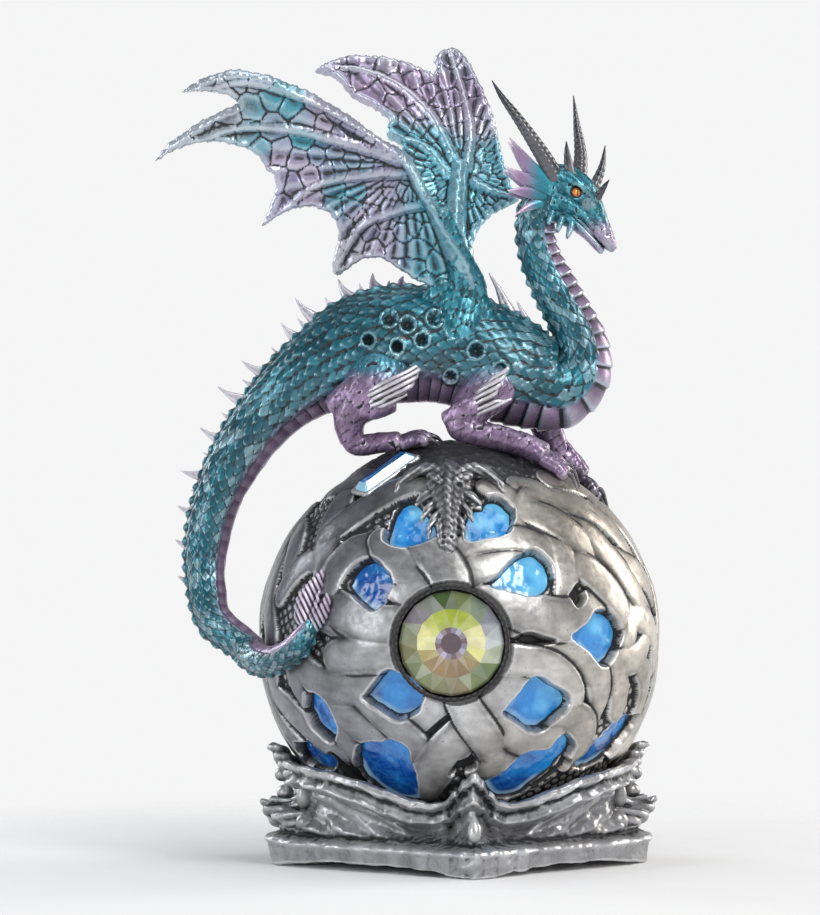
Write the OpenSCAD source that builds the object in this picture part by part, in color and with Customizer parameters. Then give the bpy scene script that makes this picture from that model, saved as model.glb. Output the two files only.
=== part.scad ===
// Lit knotwork orb on a four-armed base, with a dragon standing on its crown.
// Millimetres. The orb's upright axis is Z, the table is Z = 0, the crystal faces -Y.

/* [Orb] */
// outside diameter of the cast orb
orb_d = 97.6; // [78:0.2:118]
// wall of the cast orb
orb_wall = 3; // [2.4:0.1:4]
// height of the orb's lowest point over the table
orb_lift = 5.4; // [4.4:0.1:7]
// depth of the ring grooves on the back of the orb
groove_depth = 0.9; // [0.6:0.1:1.3]

/* [Crystal] */
// diameter of the round faceted stone
crystal_d = 24.6; // [20:0.2:29]
// thickness of the stone from its back to its table
crystal_t = 3.4; // [2.8:0.1:4]
// radial width of the bezel ring round the stone
bezel_w = 0.9; // [0.7:0.05:1.3]
// length of the bar-cut gem
bar_l = 16.5; // [14:0.5:20]

/* [Base] */
// span of the base from arm tip to arm tip
base_span = 94; // [80:1:112]
// height of the plain plinth band
plinth_h = 6.5; // [5.4:0.1:8]
// height of the rim where it climbs the four arms
rim_peak = 24; // [20:0.5:29]
// height of the rim midway between the arms
rim_dip = 15.6; // [13:0.2:17.6]
// how far the base is turned round the upright axis, in degrees
base_turn = 4; // [0:1:12]

/* [Light unit] */
// diameter of the light unit's case
puck_d = 46; // [44.6:0.2:50]
// height of the light unit's case
puck_h = 11.8; // [11.4:0.1:13.4]
// travel of the slide switch
switch_travel = 2.5; // [2:0.1:3]

/* [Dragon] */
// height of the dragon over the orb's crown, wing tips included
dragon_h = 97; // [81:1:116]
// thickness of a wing sheet
wing_t = 2.4; // [2:0.1:3]
// outward lean of the near wing in degrees
near_lean = 26; // [16:1:34]
// outward lean of the far wing in degrees
far_lean = 26; // [16:1:34]

/* [Hidden] */
$fn = 64;
orb_r = orb_d / 2;
orb_z = orb_lift + orb_r;
orb_top = orb_z + orb_r;
size_k = orb_d / 97.6;
fs = dragon_h / 97;
skin_gap = 0.05;
globe_r = orb_r - orb_wall - skin_gap;
globe_wall = 1.5;
crystal_r = crystal_d / 2;
bezel_r = crystal_r + bezel_w;
bezel_floor = 0.8;
crystal_lon = -2.7;
crystal_lat = 1.3;
seat_in = orb_r - orb_wall + 0.1;
puck_r = puck_d / 2;
bore_r = puck_r + 0.2;
puck_foot = 0.8;
puck_wall = 1.6;
puck_top = puck_foot + puck_h;
mouth_r = bore_r + 0.4;
tip_r = base_span / 2;
cell_d = 20;
cell_t = 3.2;
cell_gap = 0.02;

// windows right through the shell: longitude, latitude, half length, half width, roll
WINDOWS = [
  [-18.6, 38, 6.8, 5.2, 60],
  [12.5, 40, 6.4, 5.4, 110],
  [-27.5, 18, 6.4, 5.6, 70],
  [20.5, 20.5, 7.2, 5.2, 20],
  [43, 3, 7.2, 5.6, 0],
  [-22.5, -15.5, 5.8, 4.8, 15],
  [-46.5, -20.5, 5.6, 4.6, 60],
  [-27.5, -37, 7.4, 6.8, 70],
  [22.5, -16, 7.6, 5.4, 35],
  [27, -36, 9, 5.8, 30],
  [56, -27, 8, 4.6, 45]];
// sunk pebble panels between the bands: longitude, latitude, half length, half width, roll
PANELS = [
  [-37, 30, 5, 2.6, 60],
  [-75, 24, 4.6, 2.4, 70],
  [-61, 15, 5.4, 2.8, 80],
  [-40, -1, 4.6, 2.8, 0],
  [-8, -23, 3.6, 2.2, 40],
  [28, 35, 3.6, 2.4, 120],
  [37, 15, 4.6, 2.2, 60],
  [52, 33, 4.6, 2.2, 120],
  [66, 10, 4.6, 2.4, 100],
  [82, -14, 4.8, 2.4, 60],
  [-82, -12, 4.8, 2.4, 100]];

function dir(v) = v / norm(v);
function at_ends(i, n) = min(max(i, 0), n - 1);
function heading(p, i) = dir(p[at_ends(i + 1, len(p))] - p[at_ends(i - 1, len(p))]);
function spot(r) = [r[0], r[1], r[2]];

// carries one side vector along a path without twisting it
function carry(c, i, side) =
  i == len(c) ? []
  : let (t = heading(c, i), q = dir(side - (side * t) * t)) concat([q], carry(c, i + 1, q));

// a closed sweep through rows of x, y, z, radius along the side vector, radius across it
module sweep(rows, n = 14, side = [0, 1, 0], from = 0, to = -1, flat = 100) {
  c = [for (r = rows) spot(r)];
  q = carry(c, 0, side);
  last = to < 0 ? len(rows) - 1 : to;
  m = last - from + 1;
  pts = [for (i = [from:last])
    let (b = cross(q[i], heading(c, i)))
    for (j = [0:n - 1])
      let (p = c[i] + rows[i][3] * cos(360 * j / n) * q[i] + rows[i][4] * sin(360 * j / n) * b)
      [p[0], min(max(p[1], -flat), flat), p[2]]];
  walls = [for (i = [0:m - 2]) for (j = [0:n - 1])
    let (a = i * n + j, b = i * n + (j + 1) % n)
    [a, b, a + n]];
  others = [for (i = [0:m - 2]) for (j = [0:n - 1])
    let (a = i * n + j, b = i * n + (j + 1) % n)
    [b, b + n, a + n]];
  low = [[for (j = [0:n - 1]) n - 1 - j]];
  high = [[for (j = [0:n - 1]) (m - 1) * n + j]];
  polyhedron(points = pts, faces = concat(walls, others, low, high), convexity = 8);
}

// a straight spike with a blunt end, from p to q
module spike(p, q, r, n = 10) {
  m = (p * 2 + q) / 3;
  sweep([
    [p[0], p[1], p[2], r, r],
    [m[0], m[1], m[2], r * 0.72, r * 0.72],
    [q[0], q[1], q[2], 0.35, 0.35]], n);
}

// a solid of flat facets turned round Z: each ring is radius, height and half-steps of twist
module cut_stone(rings, n) {
  m = len(rings);
  pts = [for (i = [0:m - 1]) for (j = [0:n - 1])
    let (a = 360 * (j + rings[i][2] / 2) / n)
    [rings[i][0] * cos(a), rings[i][0] * sin(a), rings[i][1]]];
  walls = [for (i = [0:m - 2]) for (j = [0:n - 1])
    let (a = i * n + j, b = i * n + (j + 1) % n)
    [a, a + n, b]];
  others = [for (i = [0:m - 2]) for (j = [0:n - 1])
    let (a = i * n + j, b = i * n + (j + 1) % n)
    [b, a + n, b + n]];
  low = [[for (j = [0:n - 1]) j]];
  high = [[for (j = [0:n - 1]) m * n - 1 - j]];
  polyhedron(points = pts, faces = concat(walls, others, low, high), convexity = 4);
}

// puts a child that points along +Z on a ray from the orb's centre
module on_ray(lon, lat) {
  translate([0, 0, orb_z])
    rotate([0, 0, lon - 90])
      rotate([0, 90 - lat, 0])
        children();
}

// the plan of a pointed window, standing along the ray
module leaf(half_l, half_w) {
  big = (half_l * half_l + half_w * half_w) / (2 * half_w);
  intersection() {
    translate([big - half_w, 0, orb_r * 0.7])
      cylinder(r = big, h = orb_r * 0.5);
    translate([half_w - big, 0, orb_r * 0.7])
      cylinder(r = big, h = orb_r * 0.5);
  }
}

module tube(r_in, r_out, h) {
  difference() {
    cylinder(r = r_out, h = h);
    translate([0, 0, -1])
      cylinder(r = r_in, h = h + 2);
  }
}

module orb_ball(r) {
  translate([0, 0, orb_z])
    sphere(r);
}

// every figure part is drawn over the crown and scaled with the dragon
module over_crown() {
  translate([0, 0, orb_top])
    scale(fs)
      children();
}

module window_row(turn) {
  for (w = WINDOWS)
    on_ray(w[0] + turn, w[1])
      rotate([0, 0, w[4]])
        leaf(w[2] * size_k, w[3] * size_k);
}

module orb_shell() {
  color("silver")
    difference() {
      orb_ball(orb_r);
      orb_ball(orb_r - orb_wall);
      translate([0, 0, 0])
        cylinder(r = mouth_r, h = orb_z / 2);
      window_row(0);
      window_row(180);
      on_ray(crystal_lon, crystal_lat)
        translate([0, 0, orb_r * 0.7])
          cylinder(r = bezel_r, h = orb_r * 0.5);
      difference() {
        for (p = PANELS)
          on_ray(p[0], p[1])
            rotate([0, 0, p[4]])
              leaf(p[2] * size_k, p[3] * size_k);
        orb_ball(orb_r - 1.2);
      }
      difference() {
        on_ray(crystal_lon + 180, crystal_lat)
          translate([0, 0, orb_r * 0.7])
            tube(crystal_r * 0.55, crystal_r * 0.66, orb_r * 0.5);
        orb_ball(orb_r - groove_depth);
      }
      difference() {
        on_ray(crystal_lon + 180, crystal_lat)
          translate([0, 0, orb_r * 0.7])
            tube(crystal_r, crystal_r * 1.09, orb_r * 0.5);
        orb_ball(orb_r - groove_depth);
      }
      difference() {
        bar_pocket();
        orb_ball(orb_r - orb_wall);
      }
    }
}

module light_globe() {
  color("deepskyblue")
    difference() {
      orb_ball(globe_r);
      orb_ball(globe_r - globe_wall);
      cylinder(r = mouth_r, h = orb_z / 2);
      on_ray(crystal_lon, crystal_lat)
        translate([0, 0, orb_r * 0.7])
          cylinder(r = bezel_r * 0.5, h = orb_r * 0.5);
    }
}

module crystal_bezel() {
  color("dimgray")
    on_ray(crystal_lon, crystal_lat)
      difference() {
        union() {
          translate([0, 0, seat_in - 1.4])
            cylinder(r = bezel_r - 0.02, h = orb_r + 0.6 - seat_in + 1.4);
        }
        translate([0, 0, seat_in + bezel_floor])
          cylinder(r = crystal_r + 0.02, h = 20);
        translate([0, 0, seat_in - 2])
          cylinder(r = bezel_r - 2, h = 2);
        translate([0, 0, -orb_z])
          orb_ball(globe_r + 0.02);
      }
}

module crystal() {
  low = seat_in + bezel_floor;
  color("olivedrab")
    on_ray(crystal_lon, crystal_lat)
      cut_stone([
        [crystal_r * 0.8, low, 0],
        [crystal_r, low + crystal_t * 0.35, 0],
        [crystal_r, low + crystal_t * 0.5, 0],
        [crystal_r * 0.68, low + crystal_t * 0.88, 1],
        [crystal_r * 0.3, low + crystal_t, 2]], 16);
}

module on_bar() {
  on_ray(-43, 57.2)
    rotate([0, 0, -14])
      children();
}

module bar_pocket() {
  on_bar()
    translate([-bar_l / 2 - 0.7, -3.4, orb_r - 1.9])
      cube([bar_l + 1.4, 6.8, 8]);
}

// the room that the bar gem and its seat need over the skin
module bar_room() {
  on_bar()
    translate([-bar_l / 2 - 0.85, -3.55, orb_r - 2])
      cube([bar_l + 1.7, 7.1, 3.8]);
}

module bar_gem_seat() {
  color("silver")
    on_bar()
      difference() {
        translate([-bar_l / 2 - 0.65, -3.35, orb_r - 1.85])
          cube([bar_l + 1.3, 6.7, 2.1]);
        translate([-bar_l / 2, -2.7, orb_r - 1.05])
          cube([bar_l, 5.4, 4]);
      }
}

module bar_gem() {
  color("royalblue")
    on_bar()
      translate([0, 0, orb_r - 1.05])
        hull() {
          translate([-bar_l / 2 + 0.05, -2.65, 0])
            cube([bar_l - 0.1, 5.3, 1.4]);
          translate([-bar_l / 2 + 1.4, -1.1, 0])
            cube([bar_l - 2.8, 2.2, 2.6]);
        }
}

// a point over the orb's skin by angle, lift being its distance over the skin
function skin(lon, lat, lift) = [
  (orb_r + lift) * cos(lat) * sin(lon),
  -(orb_r + lift) * cos(lat) * cos(lon),
  orb_z + (orb_r + lift) * sin(lat)];
function skin_row(lon, lat, lift, a, b) = let (p = skin(lon, lat, lift)) [p[0], p[1], p[2], a, b];

module mask_relief() {
  color("gray")
    difference() {
      sweep([
        skin_row(-6, 61, 0.2, 2, 1.6),
        skin_row(-5.6, 56, 0.8, 5.2, 2.6),
        skin_row(-5, 50, 1.2, 7, 3.2),
        skin_row(-4.6, 45, 1.2, 5.4, 3.2),
        skin_row(-4.2, 40, 1.2, 3.6, 3),
        skin_row(-3.8, 34, 1.1, 2.9, 2.6),
        skin_row(-3.4, 29.5, 0.8, 2.6, 2.2),
        skin_row(-3.4, 26.5, 0.2, 1, 1.2)], 16);
      orb_ball(orb_r);
    }
}

module mask_horns() {
  color("gray")
    difference() {
      for (s = [-1, 1])
        sweep([
          skin_row(-5 + s * 9.2, 50, 0.9, 1.7, 1.7),
          skin_row(-5 + s * 13, 53, 1, 1.6, 1.6),
          skin_row(-5 + s * 16.6, 54, 0.9, 1.3, 1.3),
          skin_row(-5 + s * 20, 52, 0.6, 1, 1),
          skin_row(-5 + s * 22, 49.4, 0.2, 0.5, 0.5)], 10);
      orb_ball(orb_r);
    }
}

// four-pointed plan with hollow sides: tip is its reach, waist its reach between the arms
module star(tip, waist) {
  big = tip * 1.35;
  intersection() {
    circle(r = tip);
    difference() {
      circle(r = tip + 2);
      for (a = [45:90:315])
        rotate(a)
          translate([waist + big, 0])
            circle(r = big);
    }
  }
}

// the swoop of a rim between two arms is part of a level cylinder
swoop_half = 19.6 * size_k;
swoop_sag = rim_peak - rim_dip;
swoop_r = (swoop_half * swoop_half + swoop_sag * swoop_sag) / (2 * swoop_sag);

module swoop(grow) {
  for (a = [45:90:315])
    rotate([0, 0, a])
      translate([0, 0, rim_dip + swoop_r])
        rotate([0, 90, 0])
          cylinder(r = swoop_r + grow, h = tip_r * 1.6);
}

cup_gap = 0.25;
waist_r = tip_r * 0.76;
module base_bowl() {
  orb_ball(orb_r + cup_gap);
}

module base_casting() {
  color("gray")
    rotate([0, 0, base_turn])
      difference() {
        union() {
          intersection() {
            linear_extrude(plinth_h)
              star(tip_r, waist_r);
            cylinder(r1 = tip_r - 3.4, r2 = tip_r + 0.4, h = plinth_h);
          }
          difference() {
            intersection() {
              translate([0, 0, plinth_h - 0.5])
                linear_extrude(rim_peak - plinth_h + 0.5)
                  star(tip_r - 3.2, waist_r - 2.4);
              cylinder(r1 = tip_r + 3, r2 = tip_r - 7, h = rim_peak + 1);
            }
            swoop(6.2);
          }
        }
        base_bowl();
        translate([0, 0, -1])
          cylinder(r = bore_r, h = orb_z);
      }
}

module base_rims() {
  color("gainsboro")
    rotate([0, 0, base_turn])
      intersection() {
        difference() {
          orb_ball(orb_r + 4.4);
          base_bowl();
          swoop(0);
          cylinder(r = bore_r, h = orb_z);
        }
        intersection() {
          swoop(6.18);
          translate([0, 0, plinth_h])
            cylinder(r = tip_r, h = rim_peak - plinth_h);
        }
      }
}

// how far out a ball of radius r has to be at height z to stay clear of the orb
function clear_r(z, r) =
  sqrt(max(0, (orb_r + cup_gap + r) * (orb_r + cup_gap + r) - (z - orb_z) * (z - orb_z)));
function arm_x(inset, z, r) = max(tip_r - inset, clear_r(z, r) + 0.05);
function arm_row(inset, z, a, b) = [arm_x(inset, z, a), 0, z, a, b];

// scrolls are on the left and right arms only, and are set into the casting
module arm_scrolls() {
  color("silver")
    difference() {
      rotate([0, 0, base_turn])
        for (a = [0, 180])
          rotate([0, 0, a]) {
            sweep([
              arm_row(10, 10.2, 5, 3.4),
              arm_row(5, 11, 4.4, 3.2),
              arm_row(1.6, 12.6, 2.8, 1.8),
              arm_row(-1, 14.4, 0.8, 0.6)], 12);
            sweep([
              arm_row(8, 19.6, 3.4, 3.4),
              arm_row(5.6, 23.6, 2.8, 2.6),
              arm_row(2, 27.6, 1.2, 1.2)], 12);
          }
      base_bowl();
    }
}

module side_beads() {
  color("gainsboro")
    rotate([0, 0, base_turn])
      for (a = [0, 180])
        rotate([0, 0, a]) {
          for (s = [-1, 1]) {
            translate([arm_x(10.4, plinth_h + 3.4, 2.3), s * 8.4, plinth_h + 3.4])
              sphere(r = 2.3);
            translate([arm_x(10, plinth_h + 9.4, 1.5), s * 6.6, plinth_h + 9.4])
              sphere(r = 1.5);
          }
          translate([arm_x(4.2, 16.8, 1.6), 0, 16.8])
            sphere(r = 1.6);
          translate([arm_x(5, 20, 1.4), 0, 20])
            sphere(r = 1.4);
        }
}

module almond_beads() {
  color("white")
    rotate([0, 0, base_turn])
      for (a = [90, 270])
        rotate([0, 0, a])
          sweep([
            [tip_r - 4.4, 0, 8.6, 0.5, 0.6],
            [tip_r - 4.2, 0, 10.4, 1.2, 1.5],
            [tip_r - 5, 0, 13.2, 1.2, 1.5],
            [tip_r - 6.4, 0, 15.4, 0.5, 0.6]], 10);
}

// light unit in the base: case, lid, board, light, cells, contacts, switch and door
case_in = puck_r - puck_wall;
lid_t = 1.4;
lid_low = puck_foot - 0.4;
lid_top = lid_low + lid_t;
door_y = 5;
door_r = 12.2;
door_gap = 0.3;
lug_reach = 1.3;
lug_t = 0.7;
cell_low = lid_top + 1.1;
cells_top = cell_low + 2 * cell_t + cell_gap;
board_low = cells_top + 0.3;
switch_y = -14;
screw_x = 17;
screw_y = -9;

module puck_case() {
  color("darkslategray")
    difference() {
      union() {
        difference() {
          translate([0, 0, lid_top])
            cylinder(r = puck_r, h = puck_top - lid_top);
          translate([0, 0, lid_top - 1])
            cylinder(r = case_in, h = puck_top - puck_wall - lid_top + 1);
        }
        for (s = [-1, 1])
          translate([s * screw_x, screw_y, lid_top])
            cylinder(r = 2.2, h = puck_top - lid_top - 0.5);
      }
      translate([0, 0, puck_top - 3])
        cylinder(r = 3.2, h = 4);
      for (s = [-1, 1])
        translate([s * screw_x, screw_y, lid_top - 1])
          cylinder(r = 1.05, h = 7.5);
    }
}

module door_notches() {
  for (a = [45, 225])
    translate([0, door_y, 0])
      rotate([0, 0, a])
        translate([door_r - 2, -2.4, -1])
          cube([2 + lug_reach + 0.6, 4.8, 8]);
}

module puck_lid() {
  color("dimgray")
    difference() {
      translate([0, 0, lid_low])
        cylinder(r = puck_r, h = lid_t);
      translate([0, door_y, -1])
        cylinder(r = door_r + door_gap, h = 6);
      door_notches();
      translate([-switch_travel / 2 - 1.6, switch_y - 1.3, -1])
        cube([switch_travel + 3.2, 2.6, 6]);
      for (s = [-1, 1])
        translate([s * screw_x, screw_y, -1])
          cylinder(r = 1.15, h = 6);
    }
}

module battery_door() {
  color("dimgray")
    translate([0, door_y, 0])
      difference() {
        union() {
          translate([0, 0, lid_low + 0.1])
            cylinder(r = door_r, h = lid_t + 0.1);
          for (a = [0, 180])
            rotate([0, 0, a])
              translate([door_r - 4, -1.8, lid_top + 0.2])
                cube([4 + lug_reach, 3.6, lug_t]);
          translate([0, 0, lid_top + 0.1])
            cylinder(r = door_r - 2, h = 0.4);
        }
        translate([-6, -0.9, -1])
          cube([12, 1.8, lid_low + 1.7]);
      }
}

module led_board() {
  color("seagreen")
    difference() {
      translate([0, 0, board_low])
        cylinder(r = 14, h = 1);
      for (s = [-1, 1])
        translate([s * screw_x, screw_y, board_low - 1])
          cylinder(r = 4, h = 3);
    }
}

module led() {
  color("aqua")
    translate([0, 0, board_low + 1]) {
      cylinder(r = 2.9, h = 0.8);
      cylinder(r = 2.5, h = 5.6);
      translate([0, 0, 5.6])
        sphere(r = 2.5);
    }
}

module button_cells() {
  color("lightgray")
    for (i = [0, 1])
      translate([0, door_y, cell_low + i * (cell_t + cell_gap)]) {
        cylinder(r = cell_d / 2 - 1, h = cell_t);
        translate([0, 0, 0.4])
          cylinder(r = cell_d / 2, h = cell_t - 0.4);
      }
}

module cell_contacts() {
  color("gold") {
    translate([-1.5, door_y - 3, cells_top])
      cube([3, 6, 0.3]);
    translate([cell_d / 2, door_y - 1.5, cell_low + 0.6])
      cube([0.3, 3, board_low - cell_low - 0.6]);
  }
}

module switch_body() {
  color("black")
    difference() {
      translate([-5, switch_y - 2.4, lid_top])
        cube([10, 4.8, 4]);
      translate([-switch_travel / 2 - 1.3, switch_y - 1.2, lid_top - 1])
        cube([switch_travel + 2.6, 2.4, 4]);
    }
}

module switch_knob() {
  color("white")
    translate([-switch_travel / 2 - 1, switch_y - 0.9, lid_low - 0.1])
      cube([2, 1.8, lid_t + 2.6]);
}

module lid_screws() {
  color("silver")
    for (s = [-1, 1])
      translate([s * screw_x, screw_y, 0]) {
        translate([0, 0, lid_top])
          cylinder(r = 1, h = 6);
        translate([0, 0, lid_low + 0.1])
          cylinder(r = 1.1, h = lid_t - 0.1);
      }
}

// the crown surface under a figure point, in the figure's own measure
function under(x, y) =
  (sqrt(max(1, orb_r * orb_r - x * x * fs * fs - y * y * fs * fs)) - orb_r) / fs;

// the dragon's line from the tail's root through the torso and neck to the snout
SPINE = [
  [-57, -0.2, -12, 5.1, 5.6], [-53.6, 0, -5, 5.6, 6.1], [-49, 0, 1.8, 6.2, 6.8],
  [-43, 0, 8.6, 7, 8], [-38, 0, 13, 7.8, 9.2], [-32, 0, 17, 8.8, 10.8],
  [-25, 0, 20.4, 9.4, 13], [-16, 0, 22.4, 9.8, 13.8],
  [-6, 0, 22.4, 9.8, 13.6], [3, 0, 20, 9.6, 13.6], [11, 0, 16.4, 9.2, 13],
  [18, 0, 13.4, 8.4, 11.4], [24, 0, 12.2, 7.4, 9.4], [28.4, 0, 14.4, 6.4, 7.4],
  [30.2, 0, 19, 5.8, 6.2], [29.6, 0, 24.6, 5.2, 5.6], [27, 0, 30, 4.8, 5.2],
  [23.6, 0, 36, 4.3, 4.7], [20.6, 0, 42, 3.9, 4.2], [18.9, 0, 48, 3.7, 3.8],
  [19, 0, 53.4, 3.9, 3.9], [20.8, 0, 58, 4.4, 4.6], [24.4, -0.6, 60.8, 5.2, 5.4],
  [28.8, -1.4, 60, 5.2, 5.4], [32, -2.2, 56.6, 3.9, 4], [34.2, -3, 52.4, 3, 3.1],
  [35.8, -3.5, 48.4, 2.4, 2.3], [36.7, -3.8, 45.8, 1, 1]];
ROOT_END = 6;
CHEST_END = 13;
NECK_END = 21;
torso_flat = 7.4;

module dragon_torso() {
  color("teal")
    difference() {
      over_crown()
        sweep(SPINE, 18, from = ROOT_END, to = CHEST_END, flat = torso_flat);
      wing_pin(-1);
      wing_pin(1);
      orb_ball(orb_r);
    }
}

module dragon_neck() {
  color("darkcyan")
    over_crown()
      sweep(SPINE, 18, from = CHEST_END, to = NECK_END, flat = torso_flat);
}

module dragon_head() {
  color("teal")
    over_crown()
      sweep(SPINE, 18, from = NECK_END);
}

module long_horns() {
  color("dimgray")
    over_crown() {
      sweep([
        [23, -3, 63.6, 2.1, 2.1], [19.6, -4.4, 69, 1.9, 1.9], [14.4, -6, 76.4, 1.4, 1.4],
        [10.4, -7, 81.8, 0.9, 0.9], [7.8, -7.4, 86, 0.35, 0.35]], 10);
      sweep([
        [29.4, 2.2, 63, 2, 2], [29.6, 3.4, 69, 1.8, 1.8], [28.6, 4.8, 76, 1.1, 1.1],
        [27.8, 5.6, 83.4, 0.35, 0.35]], 10);
    }
}

module small_horns() {
  color("dimgray")
    over_crown() {
      spike([26.4, -4.4, 64.6], [25.7, -5.4, 71.6], 1.2);
      spike([33, -1, 61], [35.3, 1, 71], 1.5);
      spike([33, -3.8, 58], [36, -5.4, 62.4], 1);
    }
}

module ear_frills() {
  color("plum")
    over_crown() {
      spike([20, -3.9, 60.5], [12, -7.4, 72.6], 1.9);
      spike([20.4, -3.6, 60], [11, -8, 62.4], 1.7);
      spike([20.8, 3.2, 61.2], [13.6, 8, 70.6], 1.9);
      spike([20.6, 3.4, 60], [13, 8.6, 61], 1.7);
    }
}

module dragon_eyes() {
  color("orange")
    over_crown() {
      translate([27, -6.2, 59.4])
        sphere(r = 1.3);
      translate([28, 3.6, 59.4])
        sphere(r = 1.3);
    }
}

// crest spikes along the back and tail: root and tip
SPIKES = [
  [[14, 0, 24.5], [8, 0, 38.5]], [[18.4, 0, 19.5], [14.5, 0, 31.8]], [[21.8, 0, 15.5], [20.2, 0, 24.6]],
  [[-19, 0, 33.5], [-21, 0, 38.8]], [[-24, 0, 31.5], [-28.6, 0, 37.3]],
  [[-31, 0, 25.5], [-39.4, 0, 33]], [[-35.6, 0, 22.5], [-42.2, 0, 26.8]],
  [[-42.4, 0, 14.5], [-51.4, 0, 18]], [[-47.6, 0, 8], [-57, 0, 12.2]],
  [[-53, 0, -1], [-61, 0, 2.2]], [[-56.6, -0.4, -8.6], [-66, -0.4, -8]],
  [[-59, -1.2, -18], [-66.4, -1.2, -16.4]], [[-60, -2, -26.5], [-67.2, -2, -24.4]],
  [[-60.2, -3.4, -34.5], [-66.8, -3.4, -33]], [[-58.6, -6.4, -42.5], [-63.8, -6.4, -41]]];
// keeps the tail's end one radius and a hair clear of the orb, whatever the two sizes are
tail_gap = 0.3;
function lay(p, r) =
  let (c = [0, 0, -orb_r], d = norm(p * fs - c), need = orb_r + r * fs + tail_gap)
  (c + (p * fs - c) * (need / d)) / fs;
function off_orb(p, r) =
  let (c = [0, 0, -orb_r], d = norm(p * fs - c), need = orb_r + r * fs + tail_gap)
  d < need ? (c + (p * fs - c) * (need / d)) / fs : p;
function off_row(r) = let (p = off_orb(spot(r), r[4])) [p[0], p[1], p[2], r[3], r[4]];
function lay_row(r) = let (p = lay(spot(r), r[4])) [p[0], p[1], p[2], r[3], r[4]];
TAIL = [
  lay_row([-36.2, -35, -43.4, 2, 2]), lay_row([-38.4, -32.4, -48.4, 2.5, 2.5]),
  lay_row([-43, -27, -51.4, 2.9, 3]), lay_row([-48.6, -20, -51.6, 3.3, 3.4]),
  lay_row([-53.6, -13.6, -49, 3.6, 3.7]), off_row([-57.8, -8.4, -43.6, 3.9, 4]),
  off_row([-60.2, -4.6, -36.4, 4.2, 4.4]), off_row([-60.6, -2, -28, 4.5, 4.8]),
  off_row([-59.5, -0.8, -20, 4.8, 5.2])];
LINE = concat(TAIL, SPINE);
SWEEP_START = 5;
SWEEP_END = len(TAIL);

module tail_root() {
  color("teal")
    over_crown()
      sweep(LINE, 18, from = SWEEP_END, to = SWEEP_END + ROOT_END, flat = torso_flat);
}

module tail_sweep() {
  color("teal")
    over_crown()
      sweep(LINE, 18, from = SWEEP_START, to = SWEEP_END, flat = 12);
}

module tail_end() {
  color("teal")
    over_crown()
      sweep(LINE, 18, from = 0, to = SWEEP_START, flat = 60);
}

module tail_fin() {
  p = lay([-36, -34.8, -41.6], 1.6);
  q = lay([-34.4, -34, -36], 1.6);
  t = lay([-32.6, -33, -31], 0.8);
  color("plum")
    difference() {
      over_crown() {
        sweep([
          [p[0], p[1], p[2], 2.4, 1.4], [q[0], q[1], q[2], 3.4, 1.2],
          [t[0], t[1], t[2], 0.6, 0.5]], 12);
      }
      orb_ball(orb_r);
    }
}

module back_spikes() {
  color("silver")
    over_crown()
      for (s = SPIKES)
        spike(off_orb(s[0], 4), off_orb(s[1], 6), 1.9);
}

// wing outlines: across, and up from the wing's root line
NEAR_WING = [
  [5, 0], [2.6, 7], [-3, 15], [-8, 23], [-11, 29], [-14, 32], [-18, 34], [-25, 39], [-35, 45],
  [-45, 49], [-53, 50.2], [-60, 48.6], [-66, 45], [-61.5, 45.6], [-55, 44.6], [-52, 42.4],
  [-56, 41], [-62, 38], [-69, 33.6], [-72.6, 29], [-68.6, 31.6], [-63, 33.6], [-57, 34],
  [-50, 32], [-47, 29.6], [-46, 27], [-44.2, 26.6], [-43.6, 23], [-45.2, 19], [-47.4, 13.8],
  [-43.6, 16.6], [-40, 18.4], [-35, 19], [-31, 17.6], [-29.2, 15], [-28.8, 12], [-30.4, 6],
  [-30.6, 3.4], [-29, 2.4], [-26, 5], [-22, 7], [-18.6, 7], [-15.4, 5], [-10, 1.6], [-3, -1]];
FAR_WING = [
  [6, 0], [4, 6], [3.4, 11], [5, 15], [8.4, 18.6], [15.2, 22], [13, 26], [11, 33], [9, 43],
  [6, 51], [2, 59], [-1, 61], [-4, 60], [-6.4, 57.6], [-5, 56], [-6, 53.6], [-10, 56],
  [-17, 58.4], [-24, 59.2], [-30, 58.4], [-35.8, 55], [-30, 53], [-26, 48], [-21, 45.4],
  [-16.6, 42], [-18, 39.4], [-17, 37.4], [-14, 36.4], [-14.4, 34], [-12, 27], [-8, 17], [-6, 6]];
NEAR_FINGERS = [
  [[-11, 30], [-35, 43.4], [-62, 46]], [[-12, 29], [-42, 37], [-69, 32]],
  [[-12, 27], [-34, 24], [-46, 15.6]], [[-8, 20], [-24, 14], [-29.4, 4.4]]];
FAR_FINGERS = [
  [[0, 30], [-14, 50], [-33, 55]], [[2, 30], [2, 46], [-4, 58]], [[4, 26], [8, 24], [13, 22.6]]];
root_z = 36.6;
root_y = 4.4;

// a wing lies in its own leaning plane, and leans out from the root line
module wing(outline, lean, side) {
  k = 1 / cos(lean);
  over_crown()
    translate([0, side * root_y, root_z])
      rotate([90 - side * lean, 0, 0]) {
        translate([0, 0, -wing_t / 2 / fs])
          linear_extrude(wing_t / fs)
            polygon([for (p = outline) [p[0], p[1] * k]]);
      }
}

module finger(f, lean, side, r, n = 8) {
  k = 1 / cos(lean);
  translate([0, side * root_y, root_z])
    rotate([90 - side * lean, 0, 0])
      sweep([
        [f[0][0], f[0][1] * k, 0, r, r],
        [f[1][0], f[1][1] * k, 0, r * 0.8, r * 0.8],
        [f[2][0], f[2][1] * k, 0, r * 0.45, r * 0.45]], n, [0, 0, 1]);
}

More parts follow.
